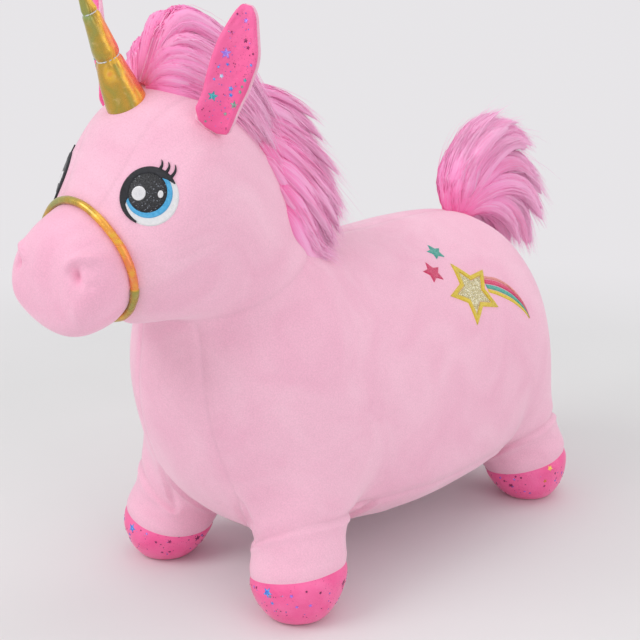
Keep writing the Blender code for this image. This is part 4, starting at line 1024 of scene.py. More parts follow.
# Foot, bend and tip of each lash
LASHES = (
    (mm(4.2, 18.6), mm(8.0, 22.4), mm(5.9, 26.4)),
    (mm(9.0, 16.8), mm(13.0, 20.6), mm(10.9, 24.9)),
    (mm(13.0, 14.0), mm(17.6, 18.0), mm(15.6, 23.2)),
)
LASH_STEPS = 12
LASH_HALF_WIDTH, LASH_TIP_HALF_WIDTH = 0.0013, 0.00012


def lid_outlines():
    """The lid's outer edge, and its inner one, which runs over the pupil's rim for most of its length."""
    outer, inner = [], []
    offset = [a - b for a, b in zip(EYE_PUPIL[0], LID_MIDDLE)]
    first, last = LID_SHARES[0][0], LID_SHARES[-1][0]
    for i in range(LID_STEPS + 1):
        degrees = first + (last - first) * i / LID_STEPS
        angle = math.radians(degrees)
        way = (math.cos(angle), math.sin(angle))
        toward = offset[0] * way[0] + offset[1] * way[1]
        edge = toward + math.sqrt(toward ** 2 - offset[0] ** 2 - offset[1] ** 2 + EYE_PUPIL[1] ** 2)
        wide = (LID_RADIUS - edge + LID_OVERLAP) * from_table(degrees, LID_SHARES)
        for line, radius in ((outer, LID_RADIUS), (inner, LID_RADIUS - wide)):
            line.append((LID_MIDDLE[0] + radius * way[0], LID_MIDDLE[1] + radius * way[1]))
    return outer, inner


def lash_outlines(foot, bend, tip):
    """The two long edges of a lash that tapers along its bend."""
    one, two = [], []
    for i in range(LASH_STEPS + 1):
        t = i / LASH_STEPS
        u, v = ((1 - t) ** 2 * foot[k] + 2 * t * (1 - t) * bend[k] + t * t * tip[k] for k in (0, 1))
        du, dv = (2 * (1 - t) * (bend[k] - foot[k]) + 2 * t * (tip[k] - bend[k]) for k in (0, 1))
        size = math.hypot(du, dv)
        half = LASH_HALF_WIDTH * (1 - t) ** 0.7 + LASH_TIP_HALF_WIDTH
        one.append((u - dv / size * half, v + du / size * half))
        two.append((u + dv / size * half, v - du / size * half))
    return one, two


def eye(skin, side, word):
    """The embroidered eye: white, blue iris, glitter pupil, two glints, and the dark lid with its lashes."""
    ahead = EYE_AHEAD if side > 0 else EYE_AHEAD - RIGHT_EYE_BACK
    aim_at = neck_place(side * EYE_OUT, ahead, EYE_RISE)
    start = neck_place(side * EYE_OUT * 3, ahead + EYE_OUT * EYE_AIM_SHARE, EYE_RISE)
    patch = Patch(skin, start, aim_at - start)

    def sewn(part, node, outer, inner, height, material, slot=None, **more):
        outer, inner = ([(side * u, v) for u, v in outline] for outline in (outer, inner))
        obj = strip(f"eye_{word}_{part}", patch, outer, inner, height, material, **more)
        finish_piece(obj, "toy", slot or material, f"eye_{word}_{node}")

    def filled(part, node, outline, height, material, base, rows, **more):
        sewn(part, node, outline, shrunk(outline, 0.02), height, material, base=base, rows=rows, capped=True, **more)

    iris, pupil = ring(*EYE_IRIS), ring(*EYE_PUPIL)
    sewn("white_stitch", "white", ring(*EYE_WHITE), shrunk(iris, 0.95), 0.0006, "white_thread")
    sewn("iris_stitch", "iris", iris, shrunk(pupil, 0.94), 0.0006, "blue_thread", base=0.0004)
    filled("pupil_felt", "pupil", pupil, 0.0005, "black_glitter", 0.0008, 10, flat=0.8)
    filled("glint_stitch", "glint", ring(*EYE_GLINT), 0.0006, "white_thread", 0.0011, 6)
    filled("small_glint_stitch", "glint", ring(*EYE_SMALL_GLINT), 0.0006, "white_thread", 0.0011, 5)
    dark = {"slot": "black_glitter", "closed": False}
    sewn("lid_stitch", "lid", *lid_outlines(), 0.0006, "black_thread", base=0.0009, rows=6, **dark)
    for number, lash in enumerate(LASHES, 1):
        sewn(f"lash_{number}", "lid", *lash_outlines(*lash), 0.0007, "black_thread", base=0.0004, rows=4, **dark)


STAR_WAIST = 0.50
STAR_EDGE_STEPS = 6


def star_outline(radius, turn, middle=(0.0, 0.0)):
    corners = []
    for i in range(10):
        reach = radius if i % 2 == 0 else radius * STAR_WAIST
        angle = turn + math.tau * i / 10
        corners.append((reach * math.sin(angle), reach * math.cos(angle)))
    outline = []
    for a, b in zip(corners, corners[1:] + corners[:1]):
        for step in range(STAR_EDGE_STEPS):
            t = step / STAR_EDGE_STEPS
            outline.append((middle[0] + a[0] + (b[0] - a[0]) * t, middle[1] + a[1] + (b[1] - a[1]) * t))
    outline.reverse()
    return outline


# The trail's upper and lower edge from the star to its end, in star radii
TRAIL_TOP = (
    (0.64, 0.355), (0.90, 0.29), (1.20, 0.18), (1.565, -0.085), (1.857, -0.444), (2.038, -0.806), (2.146, -1.187),
)
TRAIL_FOOT = (
    (0.62, -0.17), (0.83, -0.265), (1.083, -0.403), (1.467, -0.625), (1.778, -0.854), (2.000, -1.054), (2.120, -1.205),
)
# The trail's stripes from its top, each with the share of its width at which it ends
TRAIL_STRIPES = (("salmon", 0.18), ("magenta", 0.48), ("teal", 0.76), ("yellow", 1.0))
TRAIL_STEPS = 25


def motif(skin, side, word):
    """The flank's shooting star, its striped trail and two small stars."""
    y = TRUNK_SET_BACK + STAR_BEHIND
    height = BACK_HEIGHT - STAR_DROP
    start = Vector((side * TRUNK_WIDTH, y, height + STAR_RADIUS * 2))
    aim = Vector((side * TRUNK_WIDTH * 0.37, y, height)) - start
    patch = Patch(skin, start, aim)
    turn = STAR_TURN * side
    full, inner = star_outline(STAR_RADIUS, turn), star_outline(STAR_RADIUS * 0.68, turn)
    border = strip(f"star_border_{word}_stitch", patch, full, inner, 0.0010, "yellow_thread", rows=8)
    finish_piece(border, "toy", "yellow_thread", f"star_border_{word}")
    core = strip(
        f"star_glitter_{word}_felt", patch, star_outline(STAR_RADIUS * 0.70, turn), star_outline(0.0004, turn), 0.0005,
        "gold_glitter", rows=8, flat=0.9, capped=True,
    )
    finish_piece(core, "toy", "gold_glitter", f"star_glitter_{word}")
    small = (
        ("teal", TEAL_STAR_RADIUS * 0.82, (-side * STAR_RADIUS * 0.42, STAR_RADIUS * 1.43)),
        ("magenta", MAGENTA_STAR_RADIUS * 0.90, (-side * STAR_RADIUS * 1.10, STAR_RADIUS * 0.85)),
    )
    for colour, radius, spot in small:
        obj = strip(
            f"{colour}_star_{word}_stitch", patch, star_outline(radius, 0.0, spot), star_outline(0.0003, 0.0, spot),
            0.0009, f"{colour}_thread", rows=6, flat=0.3, capped=True,
        )
        finish_piece(obj, "toy", f"{colour}_thread", f"{colour}_star_{word}")
    top, foot = through(np.array((TRAIL_TOP, TRAIL_FOOT)) * STAR_RADIUS * (side, 1), np.linspace(0, 1, TRAIL_STEPS))
    begin = 0.0
    for colour, end in TRAIL_STRIPES:
        upper, lower = ((top * (1 - lane) + foot * lane).tolist() for lane in (begin, end))
        thread = f"{colour}_thread"
        obj = strip(f"trail_{colour}_{word}_stitch", patch, upper, lower, 0.0007, thread, rows=5, closed=False)
        slot = "magenta_thread" if colour == "salmon" else thread
        finish_piece(obj, "toy", slot, f"star_trail_{word}")
        begin = end


FOIL_STAR_WAIST = 0.44
FOIL_STAR_LIFT, FOIL_STAR_CROWN, FOIL_STAR_SINK = 0.00018, 0.00032, 0.0004


def foil_stars(name, tree, spots, body):
    """Thin foil stars pressed onto a cloth: (place, direction out, radius, turn, colour) each."""
    points, faces, slots = [], [], []
    for place, out, radius, turn, colour in spots:
        found, normal, _, _ = tree.find_nearest(Vector(place))
        if found is None or normal.dot(Vector(out)) < 0.2:
            continue
        right = Vector((0.13, 0.21, 0.97)).cross(normal).normalized()
        up = normal.cross(right)
        corners = []
        for i in range(10):
            reach = radius if i % 2 == 0 else radius * FOIL_STAR_WAIST
            angle = turn + math.tau * i / 10
            flat = found + right * reach * math.sin(angle) + up * reach * math.cos(angle)
            spot, way, _, _ = tree.find_nearest(flat)
            corners.append(spot + way * FOIL_STAR_LIFT)
        if max((c - found).length for c in corners) > radius * 1.3:
            continue
        start = len(points)
        points += corners + [found + normal * FOIL_STAR_CROWN] + [c - normal * FOIL_STAR_SINK for c in corners]
        for i in range(10):
            k = (i + 1) % 10
            faces.append((start + k, start + i, start + 10))
            faces.append((start + i, start + k, start + 11 + k, start + 11 + i))
            slots += [colour, colour]
        faces.append(tuple(start + 11 + i for i in range(10)))
        slots.append(colour)
    mesh = mesh_from(name, points, faces, smooth=False)
    for polygon, slot in zip(mesh.polygons, slots):
        polygon.material_index = slot
    fix_normals(mesh)
    finish_piece(new_object(name, mesh, FOILS), body, "foil_pink")


# Larger foil stars on each hoof: degrees round it from its outer side, height, radius, turn and colour
HOOF_STARS = {
    "front": (
        (-87, 0.034, 0.0046, 0.2, 0), (24, 0.032, 0.0036, 0.5, 3), (-55, 0.0345, 0.0018, 0.3, 1),
        (-80, 0.0231, 0.0018, 0.1, 0), (-48, 0.0223, 0.0016, 0.6, 1), (-31, 0.0233, 0.0017, 0.8, 1),
        (-36, 0.0400, 0.0012, 0.0, 3), (-18, 0.0353, 0.0014, 0.4, 3), (177, 0.0220, 0.0034, 0.9, 3),
        (-145, 0.0257, 0.0020, 0.2, 3), (-114, 0.0330, 0.0014, 0.7, 1), (60, 0.0290, 0.0020, 0.2, 0),
        (95, 0.028, 0.0030, 0.1, 2), (130, 0.026, 0.0022, 0.9, 0),
    ),
    "hind": (
        (-25, 0.0410, 0.0032, 0.3, 6), (-81, 0.0170, 0.0030, 0.2, 3), (-31, 0.0250, 0.0024, 0.6, 7),
        (-76, 0.0271, 0.0016, 0.1, 1), (7, 0.0272, 0.0018, 0.8, 1), (-10, 0.0218, 0.0014, 0.0, 0),
        (60, 0.0300, 0.0030, 0.5, 0), (120, 0.026, 0.0020, 0.9, 2), (-140, 0.028, 0.0030, 0.4, 3),
    ),
}
# Pin dots round each hoof: how many, their radii and how often each radius and each of the first foils comes
HOOF_DOTS = 90
DOT_RADII = (0.0005, 0.0006, 0.0008, 0.0014)
DOT_RADIUS_ODDS = (0.40, 0.28, 0.16, 0.16)
DOT_FOIL_ODDS = (0.20, 0.12, 0.06, 0.62)


def hoof_stars(cover):
    """Foil stars and pin dots round each hoof, with the large star where the photo shows it."""
    for kind, hoof_y in (("front", FRONT_HOOF_Y), ("hind", REAR_HOOF_Y)):
        for side, word in SIDES:
            tree = cover.tree(cover.of(kind + "_hoof", side))
            random = np.random.default_rng(21 + side + (5 if kind == "hind" else 0))
            middle = Vector((side * HOOF_SPACING / 2, hoof_y, 0.02))
            spots = []
            for degrees, rise, size, turn, colour in HOOF_STARS[kind]:
                angle = math.radians(degrees)
                out = Vector((side * math.cos(angle), math.sin(angle), 0.0))
                spots.append((middle + out * 0.045 + Vector((0, 0, rise - 0.02)), out, size, turn, colour))
            for _ in range(HOOF_DOTS):
                angle = random.uniform(0, math.tau)
                rise = random.uniform(0.004, 0.036)
                out = Vector((math.cos(angle), math.sin(angle), 0.0))
                size = random.choice(DOT_RADII, p=DOT_RADIUS_ODDS)
                colour = int(random.choice(4, p=DOT_FOIL_ODDS))
                place = middle + out * 0.044 + Vector((0, 0, rise - 0.02))
                spots.append((place, out, size, random.uniform(0, 6), colour))
            foil_stars(f"foil_stars_{kind}_{word}", tree, spots, "feet")


# Horn, noseband, ears

def tube(name, route, radius, material, sides=24, closed=True, twist=0.0, lobes=0, lobe_depth=0.0):
    """A tube along a list of points, with an optional rope-like twist; radius may be a function of the share."""
    count = len(route)
    points, faces = [], []
    normal = None
    for i, place in enumerate(route):
        before = route[i - 1] if closed or i else route[0]
        after = route[(i + 1) % count] if closed or i < count - 1 else route[-1]
        along = (after - before).normalized()
        if normal is None:
            normal = along.orthogonal().normalized()
        normal = (normal - along * normal.dot(along)).normalized()
        other = along.cross(normal)
        size = radius(i / count) if callable(radius) else radius
        for s in range(sides):
            angle = math.tau * s / sides
            wide = size
            if lobes:
                wide *= 1 + lobe_depth * math.cos(lobes * angle + twist * i)
            points.append(place + normal * math.cos(angle) * wide + other * math.sin(angle) * wide)
    rows = count if closed else count - 1
    # On a closed route the last ring joins the first at the point that lies nearest
    shift = 0
    if closed:
        last = (count - 1) * sides
        shift = min(range(sides), key=lambda k: (points[last] - points[k]).length)
    for i in range(rows):
        for s in range(sides):
            k = (s + 1) % sides
            low, high = i * sides, ((i + 1) % count) * sides
            turn = shift if closed and i == count - 1 else 0
            faces.append((low + s, low + k, high + (k + turn) % sides, high + (s + turn) % sides))
    if not closed:
        faces.append(tuple(reversed(range(sides))))
        faces.append(tuple((count - 1) * sides + s for s in range(sides)))
    mesh = mesh_from(name, points, faces)
    fix_normals(mesh)
    return new_object(name, mesh, material)


# The horn's half width along its length, as shares of its base
HORN_PROFILE = (
    (-0.03, 1.02), (0.00, 1.01), (0.14, 0.86), (0.25, 0.70), (0.31, 0.60), (0.37, 0.62), (0.50, 0.51), (0.60, 0.42),
    (0.66, 0.34), (0.72, 0.26), (0.84, 0.18), (1.00, 0.10),
)
HORN_ROWS, HORN_SIDES = 150, 96
# The share of its length by which the cloth reaches below the horn's foot
HORN_HEM = 0.03
HORN_PINCH, HORN_CREASE, HORN_WAVE = 0.0008, 0.00042, 0.0005
# The way to the right as the camera sees it, towards which the foil's hue turns as painted reflection
PHOTO_RIGHT = (0.73, 0.68, 0.0)
THREAD_STEPS = 120
THREAD_LOBE_TWIST, THREAD_LOBE_DEPTH = 0.9, 0.28


def horn():
    """The gold horn: cloth drawn in by three rings of thread, with soft creases between them."""
    axis = Vector((0.0, -math.sin(HORN_LEAN), math.cos(HORN_LEAN)))
    foot = neck_place(0.0, HORN_FOOT_AHEAD, HORN_FOOT_RISE)
    turn = axis.to_track_quat("Z", "Y").to_matrix().to_4x4()
    base = HORN_BASE_DIAMETER / 2
    rows, sides = HORN_ROWS, HORN_SIDES
    photo_right = turn.to_3x3().inverted() @ Vector(PHOTO_RIGHT)
    lead = math.atan2(photo_right.y, photo_right.x)
    points, hues = [], []
    for r in range(rows + 1):
        share = r / rows * (1 + HORN_HEM) - HORN_HEM
        taper = base * from_table(share, HORN_PROFILE)
        nearest = min(abs(share - t) for t in HORN_THREAD_SHARES)
        pinch = HORN_PINCH * math.exp(-(nearest / 0.016) ** 2) * min(1.0, taper / 0.006)
        close = min(1.0, max(0.0, (1.0 - share) / 0.018)) ** 0.5 if share > 0.98 else 1.0
        for s in range(sides):
            angle = math.tau * s / sides
            crease = HORN_CREASE * math.exp(-(nearest / 0.05) ** 2) * math.sin(11 * angle + 3 * math.sin(2 * angle))
            wave = HORN_WAVE * math.sin(3 * angle + 9 * share) * (1 - max(0, share))
            radius = max(0.0001, (taper - pinch + crease + wave) * close)
            points.append((radius * math.cos(angle), radius * math.sin(angle), share * HORN_LENGTH))
            # The hue's fall along the horn is the foil's own colour; its turn with the side, olive on the left, orange
            # on the right with a bright yellow stripe, and the orange patch below the first ring, is painted reflection
            # and painted highlight of the iridescent foil
            to_right = math.cos(angle - lead)
            hue = 0.38 - 0.26 * max(0.0, share) + 0.46 * max(0.0, to_right) ** 1.3
            hue += 0.34 * math.exp(-((share - 0.24) / 0.06) ** 2) * math.exp(-((to_right + 0.1) / 0.5) ** 2)
            hue -= 0.22 * math.exp(-((to_right - 0.50) / 0.14) ** 2) * (share < 0.28)
            hues.append(hue)
    ends = [tuple(reversed(range(sides))), tuple(rows * sides + s for s in range(sides))]
    mesh = mesh_from("foil_horn", points, grid(rows, sides) + ends)
    mesh.transform(Matrix.Translation(foot) @ turn)
    set_attribute(mesh, "hue", hues)
    obj = new_object("foil_horn", mesh, "gold_foil")
    finish_piece(obj, "toy", "gold_foil", "horn_cover", "horn_stuffing", fill=0.9)
    for number, share in enumerate(HORN_THREAD_SHARES):
        radius = base * from_table(share, HORN_PROFILE) - HORN_PINCH
        route = []
        for i in range(THREAD_STEPS):
            angle = math.tau * i / THREAD_STEPS
            rise = share * HORN_LENGTH + 0.0004 * math.sin(angle + number)
            route.append(foot + turn.to_3x3() @ Vector((radius * math.cos(angle), radius * math.sin(angle), rise)))
        thread = tube(
            f"tied_thread_{number + 1}", route, HORN_THREAD_DIAMETER / 2 * 0.75, "thread", 10, True,
            THREAD_LOBE_TWIST, 2, THREAD_LOBE_DEPTH,
        )
        finish_piece(thread, "toy", "thread", f"horn_thread_{number + 1}")


def rim_route(cover, faces, lift, spacing):
    """The seam round a panel as evenly spaced points, this far above the skin."""
    pairs = {tuple(e) for e in edges_of(faces).tolist()}
    after = {a: b for a, b in pairs if (b, a) not in pairs}
    start = max(after, key=lambda v: cover.points[v][2])
    chain, here = [], start
    while not chain or here != start:
        chain.append(here)
        here = after[here]
    places = cover.points[chain] + cover.normals[chain] * lift
    for _ in range(4):
        places = (np.roll(places, 1, 0) + places * 2 + np.roll(places, -1, 0)) / 4
    steps = np.linalg.norm(np.roll(places, -1, 0) - places, axis=1)
    total = steps.sum()
    at = np.concatenate([[0], np.cumsum(steps)])
    wrapped = np.vstack([places, places[:1]])
    count = int(total / spacing)
    wanted = np.arange(count) * total / count
    return [Vector([np.interp(w, at, wrapped[:, k]) for k in range(3)]) for w in wanted]


NOSEBAND_JOINT = (0.0482, -0.2630, 0.2886)
NOSEBAND_WIDTH = 0.0060
NOSEBAND_SINK = 0.0022
NOSEBAND_STEP = 0.0014
NOSEBAND_SIDES = 20
# The foil's hue along the piping: before its joint, counted back from it, and after it
HUE_BEFORE_JOINT = ((0.0, 0.62), (0.022, 0.80), (0.045, 0.62), (0.075, 0.50), (0.100, 0.22), (0.125, 0.40))
HUE_AFTER_JOINT = ((0.0, 0.14), (0.018, 0.22))
HUE_CHANGE = 0.030


def noseband(cover):
    """The foil piping behind the muzzle, with the overlap where its ends are sewn together."""
    spacing = NOSEBAND_STEP
    route = rim_route(cover, cover.of("muzzle_cover"), NOSEBAND_SINK, spacing)
    count = len(route)
    joint = min(range(count), key=lambda i: (route[i] - Vector(NOSEBAND_JOINT)).length)
    below = 1 if route[(joint + 3) % count].z < route[joint].z else -1

    def size(share):
        away = (share * count - joint) * below % count * spacing
        back = count * spacing - away
        step = 0.15 * math.exp(-(away / 0.009) ** 2) - 0.10 * math.exp(-(back / 0.0018) ** 2)
        wave = 0.025 * math.sin(away * 310) * math.sin(away * 127)
        return NOSEBAND_WIDTH / 2 * (1.0 + step + wave)

    band = tube("foil_noseband", route, size, "gold_foil", NOSEBAND_SIDES)
    hues = []
    for i in range(count):
        away = (i - joint) * below % count * spacing
        back = count * spacing - away
        hue = from_table(back, HUE_BEFORE_JOINT)
        if away < HUE_CHANGE:
            hue = from_table(away, (*HUE_AFTER_JOINT, (HUE_CHANGE, hue)))
        hues += [hue] * NOSEBAND_SIDES
    set_attribute(band.data, "hue", hues)
    finish_piece(band, "toy", "gold_foil", "noseband")


# The leaf's half width towards the head and away from it, as shares of the ear's half width, up its height
EAR_INNER = (
    (0.00, 0.80), (0.03, 1.14), (0.13, 1.06), (0.24, 0.98), (0.36, 0.985), (0.52, 0.945), (0.69, 0.845), (0.84, 0.615),
    (0.95, 0.40), (1.00, 0.24),
)
EAR_OUTER = (
    (0.00, 0.44), (0.04, 0.54), (0.14, 0.62), (0.25, 0.73), (0.35, 0.88), (0.49, 0.98), (0.58, 1.05), (0.67, 1.01),
    (0.83, 0.71), (0.95, 0.50), (1.00, 0.28),
)
# The foot of the leaf: across and up in metres
EAR_FOOT = (
    (-0.0190, 0.0130), (-0.0165, 0.0075), (-0.0138, 0.0045), (-0.0080, -0.0004), (-0.0008, -0.0024), (0.0055, -0.0010),
    (0.0090, 0.0040),
)
# The right ear's place and flare, as shares of the left one's
RIGHT_EAR_OUT, RIGHT_EAR_FLARE = 0.94, 0.3
EAR_ROWS, EAR_COLUMNS = 70, 32
ROOT_ROLL_STEPS, ROOT_ROLL_RADIUS = 24, 0.0030
LINING_DOTS = 70
LINING_DOT_ODDS = (0.2, 0.2, 0.1, 0.5)


class Ear:
    """Axes of one ear and its cupped leaf."""

    def __init__(self, skin, side):
        # The right ear is sewn on a little more upright and nearer the middle
        above = neck_place(EAR_OUT if side > 0 else -EAR_OUT * RIGHT_EAR_OUT, EAR_AHEAD, BACK_HEIGHT)
        place, normal = skin.hit(above, (0, 0, -1))
        flare = EAR_FLARE if side > 0 else EAR_FLARE * RIGHT_EAR_FLARE
        frame_of = Matrix.Rotation(side * EAR_TURN, 3, "Z") @ Matrix.Rotation(side * flare, 3, "Y")
        frame_of = frame_of @ Matrix.Rotation(EAR_NOD, 3, "X")
        self.across = frame_of @ Vector((side, 0, 0))
        self.facing = frame_of @ Vector((0, -1, 0))
        self.up = frame_of @ Vector((0, 0, 1))
        self.root = place + normal * EAR_ROOT_LIFT
        self.skin = skin

    def lifted(self, across, up):
        """Height up the ear of a place on the leaf, whose foot is rounded."""
        return up + from_table(across, EAR_FOOT) * max(0.0, 1 - up / EAR_LENGTH) ** 2

    def place(self, across, up, depth):
        half = EAR_WIDTH / 2
        slope = 2 * EAR_CUP * across / half ** 2
        normal = (self.facing - self.across * slope).normalized()
        forward = EAR_CUP * (across / half) ** 2
        return self.root + self.across * across + self.up * up + self.facing * (forward + 0.0026) - normal * depth


def half_width(rise, column):
    """Half width of the ear's leaf at a height, on the side that the column is on, in metres."""
    rises, widths = zip(*(EAR_INNER if column < 0 else EAR_OUTER))
    soft = np.interp(np.clip([rise - 0.03, rise, rise + 0.03], 0, 1), rises, widths).mean()
    return float(soft) * EAR_WIDTH / 2


def leaf(ear, inset, front, back, crown, name, material, puff, shy=0.0):
    """A closed leaf between two depths, its rim rounded and its middle crowned."""
    rows, columns = EAR_ROWS, EAR_COLUMNS
    middle = (front + back) / 2
    points, faces, distances = [], [], []
    for layer in (0, 1):
        for r in range(rows + 1):
            rise = r / rows
            up = inset + rise * (EAR_LENGTH - 2 * inset)
            top_round = math.sqrt(max(0.0, 1 - max(0.0, (rise - 0.94) / 0.06) ** 2)) * 0.35 + 0.65
            for c in range(columns + 1):
                column = -1 + 2 * c / columns
                across = column * (half_width(rise, column) * top_round - inset - (shy if column < 0 else 0.0))
                edge = min(1 - abs(column), rise * 2.6, (1 - rise) * 3.2)
                swell = crown * rounded(edge / 0.35)
                ripple = math.sin(rise * 19 + column * 3) * math.sin(column * 4 + 1)
                ripple = puff * (ripple + 0.5 * math.sin(rise * 43 - column * 9))
                face = front if layer == 0 else back
                depth = middle + (face - middle) * (0.25 + 0.75 * min(1.0, edge / 0.12))
                depth += (-1 if layer == 0 else 1) * (swell + ripple * min(1.0, edge / 0.3))
                point = ear.place(across, ear.lifted(across, up), depth)
                if rise < 0.4:
                    least = (0.0008 + max(0.0, back + 0.0005 - depth) * 0.45) * min(1.0, (0.4 - rise) / 0.15)
                    point = ear.skin.raised(point, least)
                points.append(tuple(point))
                distances.append(min((1 - abs(column)) * EAR_WIDTH / 2, (1 - rise) * EAR_LENGTH))
    wide = columns + 1
    count = (rows + 1) * wide
    for a, b, c, d in grid(rows, wide, columns):
        faces += [(a, b, c, d), (count + a, count + d, count + c, count + b)]
    rim = [r * wide for r in range(rows)] + [rows * wide + c for c in range(columns)]
    rim += [r * wide + columns for r in range(rows, 0, -1)] + [c for c in range(columns, 0, -1)]
    for a, b in zip(rim, rim[1:] + rim[:1]):
        faces.append((a, b, count + b, count + a))
    mesh = mesh_from(name, points, faces)
    fix_normals(mesh)
    set_attribute(mesh, "seam", distances)
    return new_object(name, mesh, material)


# Foil stars on the lining: across and up as shares, radius, colour
EAR_STARS = (
    (-0.41, 0.612, 0.0041, 1), (-0.58, 0.264, 0.0040, 2), (0.15, 0.886, 0.0020, 1), (0.37, 0.745, 0.0018, 3),
    (0.56, 0.694, 0.0015, 3), (-0.60, 0.495, 0.0012, 0), (-0.23, 0.535, 0.0014, 0), (-0.67, 0.392, 0.0012, 0),
    (-0.39, 0.437, 0.0019, 4), (0.90, 0.576, 0.0014, 0), (0.90, 0.665, 0.0010, 3), (0.18, 0.366, 0.0021, 0),
    (0.24, 0.317, 0.0019, 0), (0.78, 0.444, 0.0017, 2), (0.70, 0.386, 0.0015, 5), (0.66, 0.338, 0.0017, 5),
    (0.50, 0.230, 0.0033, 5), (0.16, 0.168, 0.0016, 5), (-0.65, 0.044, 0.0012, 5), (-0.29, 0.918, 0.0009, 3),
    (-0.36, 0.778, 0.0008, 3),
)


def roll_radius(share):
    """Radius of the roll at the ear's root, along its length."""
    return ROOT_ROLL_RADIUS * math.sqrt(max(0.05, 1 - (2 * share - 1) ** 6))


def ears(skin):
    for side, word in SIDES:
        ear = Ear(skin, side)
        body = f"ear_{word}"
        back = leaf(ear, 0.0, 0.0012, 0.0052, 0.0005, f"plush_ear_{word}", "plush", 0.0001, 0.0014)
        finish_piece(back, body, "plush", f"ear_{word}_back", f"ear_{word}_foam", fill=0.7)
        lining = leaf(ear, 0.0003, -0.0004, 0.0026, 0.0010, f"foil_ear_{word}", "foil_pink", 0.00030)
        finish_piece(lining, body, "foil_pink", f"ear_{word}_lining", fill=0.6)
        roll = []
        for i in range(ROOT_ROLL_STEPS + 1):
            across = -0.0150 + 0.0195 * i / ROOT_ROLL_STEPS
            point = ear.place(across, ear.lifted(across, 0.0) + 0.0022, 0.0042)
            roll.append(skin.raised(point, 0.0006))
        root = tube(f"plush_ear_root_{word}", roll, roll_radius, "plush", 20, False)
        set_attribute(root.data, "seam", np.full(len(root.data.vertices), 0.01))
        finish_piece(root, body, "plush", f"ear_{word}_back", fill=0.7)
        sheet = lining.data
        tree = BVHTree.FromPolygons([v.co.copy() for v in sheet.vertices], [tuple(p.vertices) for p in sheet.polygons])
        random = np.random.default_rng(31 + side)
        spots = []
        for column, rise, size, colour in EAR_STARS:
            across = column * EAR_WIDTH / 2
            place = ear.place(across, ear.lifted(across, rise * EAR_LENGTH), -0.002)
            spots.append((place, ear.facing, size, random.uniform(-0.3, 0.3), colour))
        for _ in range(LINING_DOTS):
            column, rise = random.uniform(-0.85, 0.85), random.uniform(0.04, 0.95)
            across = column * half_width(rise, column)
            place = ear.place(across, ear.lifted(across, rise * EAR_LENGTH), -0.002)
            size = random.uniform(0.0003, 0.0006)
            spots.append((place, ear.facing, size, 0.0, int(random.choice(4, p=LINING_DOT_ODDS))))
        foil_stars(f"foil_stars_ear_{word}", tree, spots, body)


# Fur

STRANDS = 7600
STEPS = 7
LOCK_POINTS = 24
LOCK_REACH = 1.10
LOCK_ROWS = 16
LOCK_SIDES = 16
LOCK_FLATNESS = 0.6
MANE_LOCKS = 91
MANE_COLUMNS = 13
FORELOCK_LOCKS = 96
FORELOCK_COLUMNS = 16
TAIL_LOCKS = 84
TAIL_COLUMNS = 12
# How far strands stand out from their lock and wander at the tip, and the share that stray further
STRAND_SPREAD = 1.10
STRAND_WANDER = 0.0020
STRAY_SHARE, STRAY_WANDER = 0.07, 3.2


def unit(vectors):
    return vectors / np.maximum(np.linalg.norm(vectors, axis=-1, keepdims=True), 1e-9)


def lock_profile(share):
    """A lock's width share along its length: narrow at the root, full, then drawn to a point."""
    share = np.clip(share, 0, 1)
    return (0.50 + 0.50 * np.minimum(1.0, share / 0.35)) * (1 - share ** 2.4) ** 0.8 + 0.03


class Locks:
    """Locks of fur: the path, outward side, half width and tint of each."""

    def __init__(self, paths, outward, widths, tints):
        self.paths = paths
        self.along = unit(np.gradient(paths, axis=1))
        self.side = unit(np.cross(self.along, outward))
        self.out = np.cross(self.side, self.along)
        self.widths = widths
        self.tints = tints

    def at(self, lock, share):
        """Place, side and outward directions of locks at shares of their length."""
        last = self.paths.shape[1] - 1
        where = np.clip(share / LOCK_REACH * last, 0, last - 0.001)
        low = where.astype(int)
        part = (where - low)[..., None]
        return [grid[lock, low] * (1 - part) + grid[lock, low + 1] * part for grid in (self.paths, self.side, self.out)]


def swept_mesh(name, rings):
    """Closed bodies from rings of points (body, row, corner, xyz), each with flat ends."""
    count, rows, sides, _ = rings.shape
    base = (np.arange(count) * rows * sides)[:, None, None]
    row = (np.arange(rows - 1) * sides)[None, :, None]
    corner = np.arange(sides)[None, None, :]
    after = (corner + 1) % sides
    low = base + row
    quads = np.stack([low + corner, low + after, low + sides + after, low + sides + corner], axis=-1).reshape(-1, 4)
    first = base[:, 0] + np.arange(sides)[::-1]
    final = base[:, 0] + (rows - 1) * sides + np.arange(sides)
    loops = np.concatenate([quads.ravel(), first.ravel(), final.ravel()])
    sizes = np.concatenate([np.full(len(quads), 4), np.full(2 * count, sides)])
    mesh = bpy.data.meshes.new(name)
    mesh.vertices.add(count * rows * sides)
    mesh.vertices.foreach_set("co", rings.astype(np.float32).ravel())
    mesh.loops.add(len(loops))
    mesh.loops.foreach_set("vertex_index", loops.astype(np.int32))
    mesh.polygons.add(len(sizes))
    mesh.polygons.foreach_set("loop_start", np.concatenate([[0], np.cumsum(sizes)[:-1]]).astype(np.int32))
    mesh.update(calc_edges=True)
    mesh.shade_smooth()
    return mesh, loops


